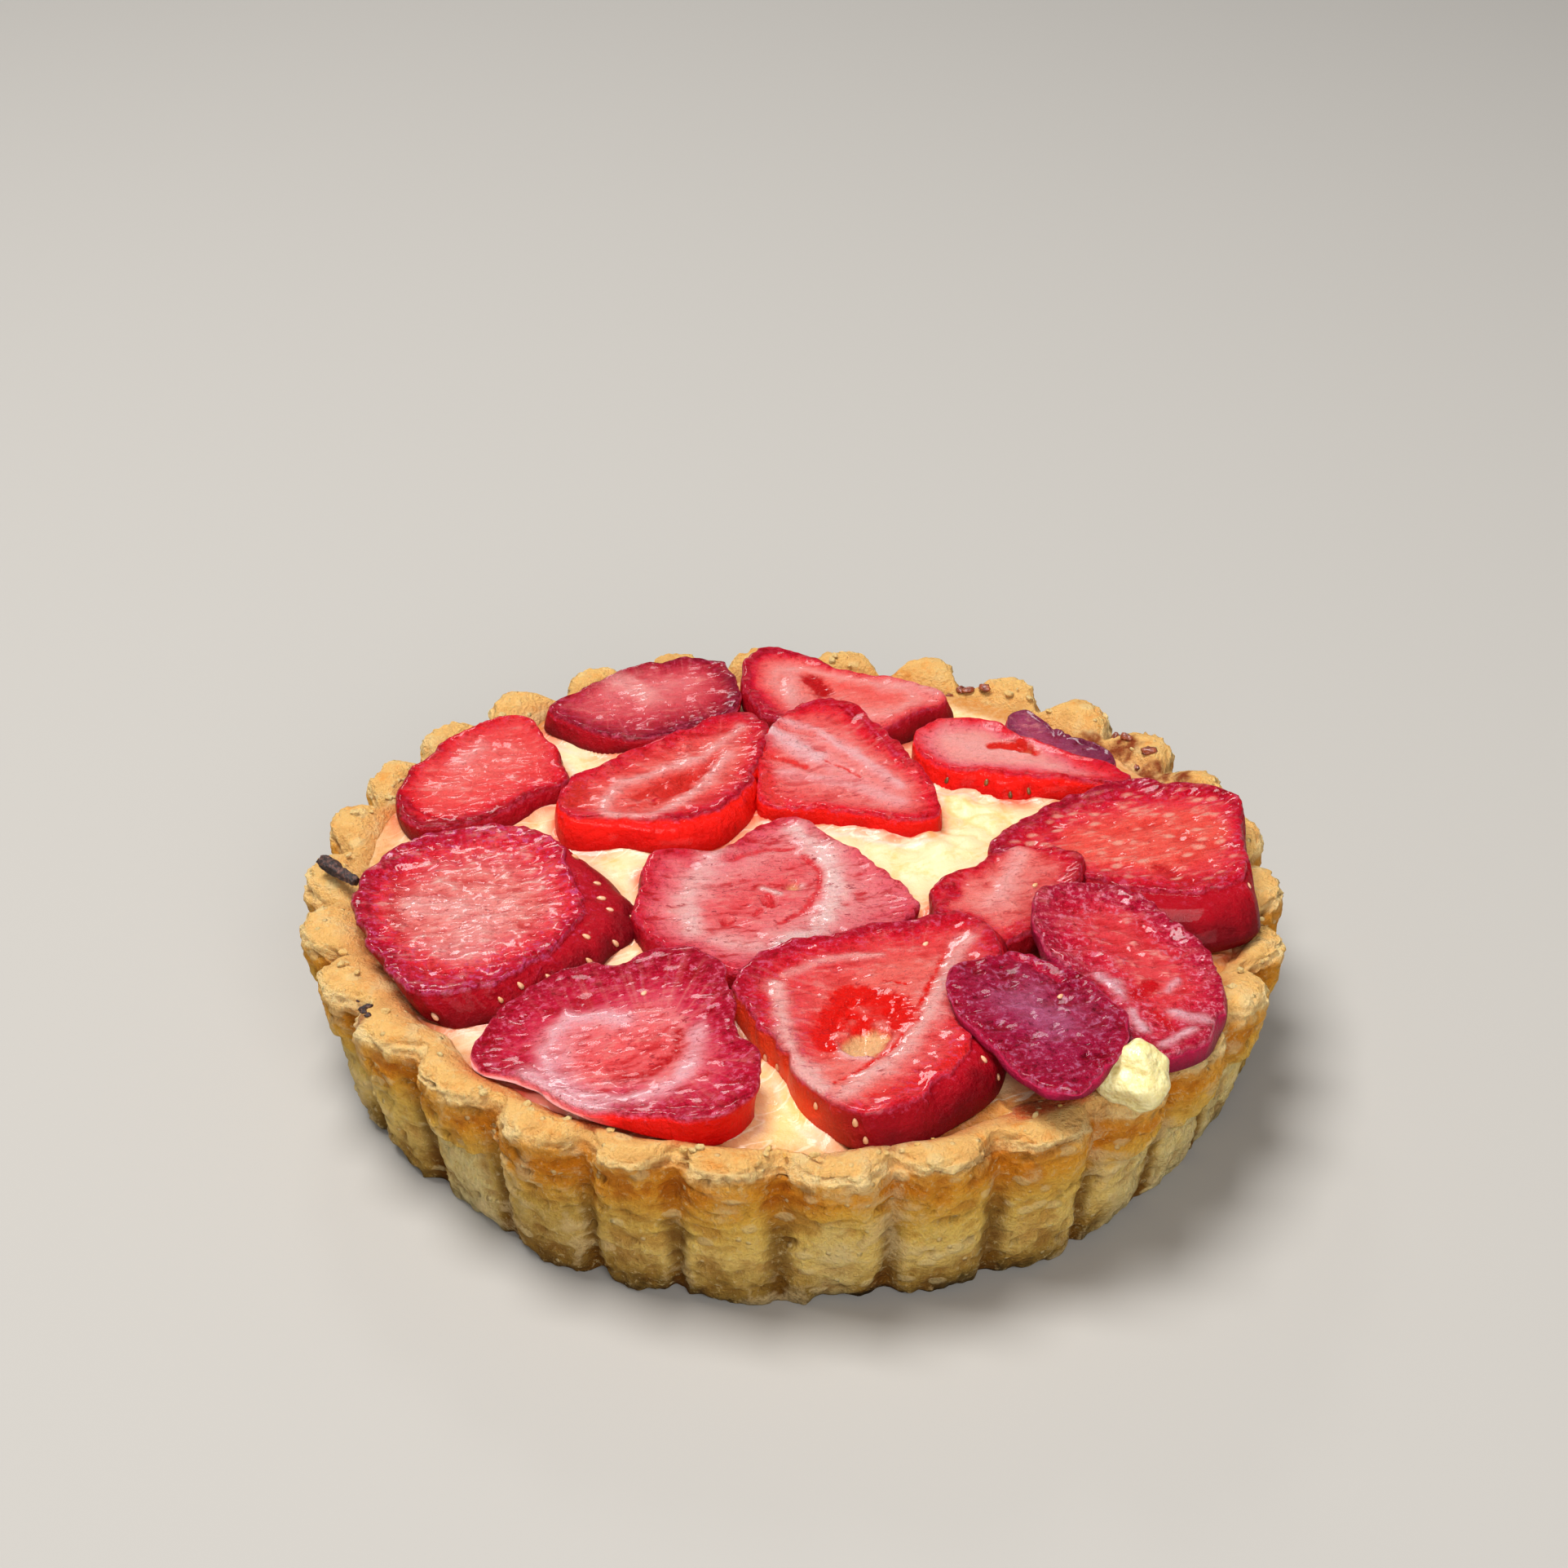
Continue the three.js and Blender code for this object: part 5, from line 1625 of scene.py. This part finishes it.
    def _dress(
        self,
        rings: np.ndarray,
        low: int,
        under: np.ndarray,
        centre: np.ndarray,
        shares: np.ndarray,
        looks: dict[str, np.ndarray],
    ) -> bpy.types.Object:
        """Adds the fields that the finish reads and makes the piece."""
        cut = self.cut
        cx, cy, _ = cut.at
        faces = rings[low + self.side_rings :]
        flat = faces[..., :2].reshape(-1, 2) - (cx, cy)
        outline = rings[low + self.side_rings - 1][:, :2] - (cx, cy)
        rim = line_distance(flat, np.vstack([outline, outline[:1]]))
        ends = np.array(cut.heart)
        heart = line_distance(flat, ends)
        level = (heart / (heart + rim + 0.05)).reshape(shares.shape)
        run = ends[1] - ends[0]
        along = np.clip(((flat - ends[0]) @ run) / max(run @ run, 1e-6), 0, 1)
        from_heart = flat - (ends[0] + along[:, None] * run)
        turn = np.arctan2(from_heart[:, 1], from_heart[:, 0])
        thread = np.stack([np.cos(turn) * 1.4, np.sin(turn) * 1.4, along * np.linalg.norm(run) / 5], -1)
        rest = low + self.side_rings
        skins = rings[:rest]
        toward = math.radians(cut.finish.toward)
        around = np.arctan2(flat[:, 1], flat[:, 0]) - toward
        drop = np.concatenate([np.ones(low), np.linspace(1, 0, self.side_rings)])[:, None]
        # Where the skin turns to its end colour: juice and custard, with a painted glow of light through the
        # flesh, lower down on one side.
        facing = np.cos(self.angles - math.radians(self.bleed_and_glow_toward))
        bleed_and_glow = smooth(-0.6, 0.6, drop) * smooth(0.45, 0.95, facing)[None]

        def both(on_skin: np.ndarray | float, on_face: np.ndarray | float) -> np.ndarray:
            """A field from its values on the skin and on the face."""
            skin = np.broadcast_to(on_skin, skins.shape[:2]).ravel()
            face = np.broadcast_to(on_face, shares.shape).ravel()
            return np.concatenate([skin[:1], skin, face, face[-1:]])

        fields = {
            "share": both(1.0, level),
            "side": both(1.0, 0.0),
            "drop": both(drop, 0.0),
            "bleed_and_glow": both(bleed_and_glow, 0.0),
            "crescent": both(1.0, (np.cos(around).reshape(shares.shape)) * shares**2),
            **{label: both(0.0, values) for label, values in looks.items()},
            "fibre": np.vstack([[0, 0, 0], np.zeros((skins.shape[0] * self.columns, 3)), thread, thread[-1]]),
        }
        points = np.vstack([under, rings.reshape(-1, 3), centre])
        made = Surface(points, ring_faces(len(rings), self.columns), fields)
        piece = made.piece(cut.name.replace("slice", "berry"), cut.finish)
        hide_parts(cut.name)
        return piece


@dataclass(frozen=True)
class SeedMaker:
    """All the seeds that show, as one piece."""

    length: float = 0.92
    width: float = 0.54
    depth: float = 0.4

    def build(self, berries: list[Berry]) -> bpy.types.Object:
        """One seed in each dimple."""
        parts = []
        rng = np.random.default_rng(7)
        model = ball(5, 8)
        for berry in berries:
            for here, outward, up, size in berry.seeds:
                across = np.cross(outward, up)
                local = model.points * (self.width / 2, self.length / 2, self.depth / 2) * size
                local[:, 0] *= 1 - 0.35 * local[:, 1] / (self.length / 2)
                set_up = local[:, :1] * across + local[:, 1:2] * up + local[:, 2:] * outward
                tone = np.clip(berry.cut.seed_tone + rng.uniform(-0.1, 0.2), 0, 1)
                points = set_up + here - outward * 0.26
                parts.append(Surface(points, model.faces, {"tone": np.full(len(points), tone)}))
        return joined(parts).piece("berry_seeds", Seed())


# ---------------------------------------------------------------- what lies on the rim


@dataclass(frozen=True)
class Bits:
    """Some small bits on a stretch of the rim.

    "turns" is the stretch in degrees, "size" how large they are on average, and "inset" how far in from
    the edge they reach.
    """

    name: str
    finish: Finish
    count: int
    seed: int
    turns: tuple[float, float]
    size: float
    inset: float


SCATTERED = (
    Bits("jam_bits", BurntJam(), 6, 81, (116, 131), 1.2, 5.5),
    Bits("jam_flakes", BurntJam(), 5, 82, (150, 156), 1.2, 6.0),
    Bits("burnt_crumbs", VanillaPod(), 7, 83, (-63, -57), 0.8, 3.5),
    Bits("rim_crumbs", BakedCrust(), 90, 84, (-180, 180), 0.75, 4.6),
)


@dataclass(frozen=True)
class RimBits:
    """The cream lump, the vanilla, the jam and the crumbs."""

    case: Case
    cream_at: tuple[float, float, float] = (31.0, -36.7, 19.3)
    cream_size: tuple[float, float, float] = (3.1, 2.9, 2.8)
    cream_turn: float = 40.0
    cream_cuts: tuple[tuple[float, float, float, float], ...] = (
        (-1, -0.4, 0.9, 0.8), (0.2, -1, 0.8, 0.85), (1, 0.1, 0.6, 0.85), (0.1, 1, 0.5, 0.9), (0, 0, 1, 1.1),
        (-1, -0.6, -0.4, 1.0), (0.8, -0.8, -0.2, 1.0), (-0.4, 0.8, 1, 0.95),
    )
    cream_crisp: float = 13.0  # how sharply its faces meet
    pod_from: tuple[float, float, float] = (-47.6, -0.1, 19.3)
    pod_to: tuple[float, float, float] = (-43.8, -3.8, 18.9)
    pod_radius: float = 0.62

    def cream(self) -> bpy.types.Object:
        """The lump of set cream on the right front of the rim."""
        model = ball(60, 90)
        p = model.points
        near = np.full(len(p), math.exp(-self.cream_crisp * 1.3))
        for x, y, z, reach in self.cream_cuts:
            ahead = p @ np.array([x, y, z]) / math.hypot(x, y, z)
            near += np.exp(-self.cream_crisp * np.minimum(reach / np.maximum(ahead, 0.01), 3))
        swell = -np.log(near) / self.cream_crisp
        swell = swell + 0.05 * np.sin(6 * p[:, 0] + 4 * p[:, 2]) + 0.05 * noise(p, 0.45, 71, 3)
        points = turned(p * swell[:, None] * self.cream_size, math.radians(self.cream_turn))
        made = Surface(points + self.cream_at, model.faces)
        piece = made.piece("set_cream", Cream())
        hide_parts("cream_lump")
        return piece

    def pod(self) -> bpy.types.Object:
        """The wrinkled piece of vanilla pod."""
        start, end = np.array(self.pod_from), np.array(self.pod_to)
        along = end - start
        side = np.array([-along[1], along[0], 0.0])
        side /= np.linalg.norm(side)
        steps, columns = 36, 28
        turn = TAU * np.arange(columns) / columns
        rings = []
        for share in np.linspace(0, 1, steps):
            width = self.pod_radius * (1 + 0.25 * math.sin(5 * share + 0.6))
            ridged = width * (1 + 0.16 * np.sin(5 * turn + 3 * share) + 0.08 * np.sin(11 * turn - 5 * share))
            centre = start + along * share
            flat = (ridged * np.cos(turn))[:, None] * side
            high = np.stack([0 * turn, 0 * turn, 0.8 * ridged * np.sin(turn)], -1)
            rings.append(centre + flat + high)
        grid = np.array(rings)
        grid += 0.1 * noise(grid, 0.8, 73, 2)[..., None]
        points = np.vstack([start, grid.reshape(-1, 3), end])
        made = Surface(points, ring_faces(steps, columns)).piece("vanilla_pod", VanillaPod())
        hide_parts("vanilla_piece")
        return made

    def scattered(self, bits: Bits) -> bpy.types.Object:
        """Small irregular bits lying on the rim, as one piece."""
        rng = np.random.default_rng(bits.seed)
        model = ball(9, 14)
        parts = []
        for _ in range(bits.count):
            at = self.case.rim_point(rng.uniform(*bits.turns), rng.uniform(0.6, 1.0) * bits.inset)
            length = bits.size * rng.uniform(0.5, 1.5)
            scale = length * np.array([1.0, rng.uniform(0.5, 1.0), rng.uniform(0.35, 0.6)])
            lumps = 1 + 0.35 * noise(model.points + at, 0.7, bits.seed, 2)
            lying = turned(model.points * lumps[:, None] * scale / 2, rng.uniform(0, TAU))
            parts.append(Surface(lying + at + (0, 0, 0.1 * bits.size), model.faces))
        return joined(parts).piece(bits.name, bits.finish)


# ---------------------------------------------------------------- the studio


@dataclass(frozen=True)
class Lamp:
    """A soft square light: where it hangs and its side in millimetres, and its power in watts."""

    name: str
    at: tuple[float, float, float]
    size: float
    power: float


@dataclass(frozen=True)
class Studio:
    """The floor, the lights and the camera."""

    camera_at: tuple[float, float, float] = (-0.837, -248.87, 171.93)
    pitch: float = 0.524  # radians below the horizontal
    lens: float = 66.08
    sensor: float = 36.0
    floor_half: float = 3000.0
    lamps: tuple[Lamp, ...] = (
        Lamp("window", (-210, 50, 790), 380, 8.5),
        Lamp("fill", (130, -630, 400), 480, 3.7),
        Lamp("glint", (-130, 620, 430), 110, 0.6),
    )
    surround: tuple[float, float, float, float] = (1.0, 0.99, 0.97, 1)
    surround_strength: float = 0.14

    def floor(self) -> None:
        """A plain pale floor."""
        h = self.floor_half * MM
        mesh = bpy.data.meshes.new("floor")
        mesh.from_pydata([(-h, -h, 0), (h, -h, 0), (h, h, 0), (-h, h, 0)], [], [(0, 1, 2, 3)])
        mesh.materials.append(PaleFloor().material())
        made = bpy.data.objects.new("floor", mesh)
        bpy.context.scene.collection.objects.link(made)

    def light(self, lamp: Lamp) -> None:
        """A lamp that looks at the tart."""
        data = bpy.data.lights.new(lamp.name, "AREA")
        data.energy = lamp.power
        data.size = lamp.size * MM
        made = bpy.data.objects.new(lamp.name, data)
        made.location = [c * MM for c in lamp.at]
        made.rotation_euler = (-made.location).to_track_quat("-Z", "Y").to_euler()
        bpy.context.scene.collection.objects.link(made)

    def surroundings(self) -> None:
        """An even pale surround."""
        world = bpy.data.worlds.new("studio")
        world.use_nodes = True
        backdrop = world.node_tree.nodes["Background"]
        backdrop.inputs["Color"].default_value = self.surround
        backdrop.inputs["Strength"].default_value = self.surround_strength
        bpy.context.scene.world = world

    def camera(self) -> None:
        """The camera, looking down on the front of the tart."""
        data = bpy.data.cameras.new("camera")
        data.lens = self.lens
        data.sensor_width = self.sensor
        data.clip_start = 10 * MM
        made = bpy.data.objects.new("camera", data)
        made.location = [c * MM for c in self.camera_at]
        made.rotation_euler = (math.pi / 2 - self.pitch, 0, 0)
        bpy.context.scene.collection.objects.link(made)
        bpy.context.scene.camera = made

    def build(self) -> None:
        """Everything round the tart."""
        self.floor()
        for lamp in self.lamps:
            self.light(lamp)
        self.surroundings()
        self.camera()
        bpy.context.scene.view_settings.view_transform = "Standard"


def main() -> None:
    """Builds the tart and the studio."""
    logging.basicConfig(level=logging.INFO, format="%(name)s: %(message)s")
    Studio().build()
    case = Case()
    filling = Filling()
    berries = [Berry(cut, index, filling) for index, cut in enumerate(SLICES)]
    case.build(berries)
    filling.build(berries)
    for berry in berries:
        berry.build()
    SeedMaker().build(berries)
    rim = RimBits(case)
    rim.cream()
    rim.pod()
    for bits in SCATTERED:
        rim.scattered(bits)


if __name__ == "__main__":
    main()
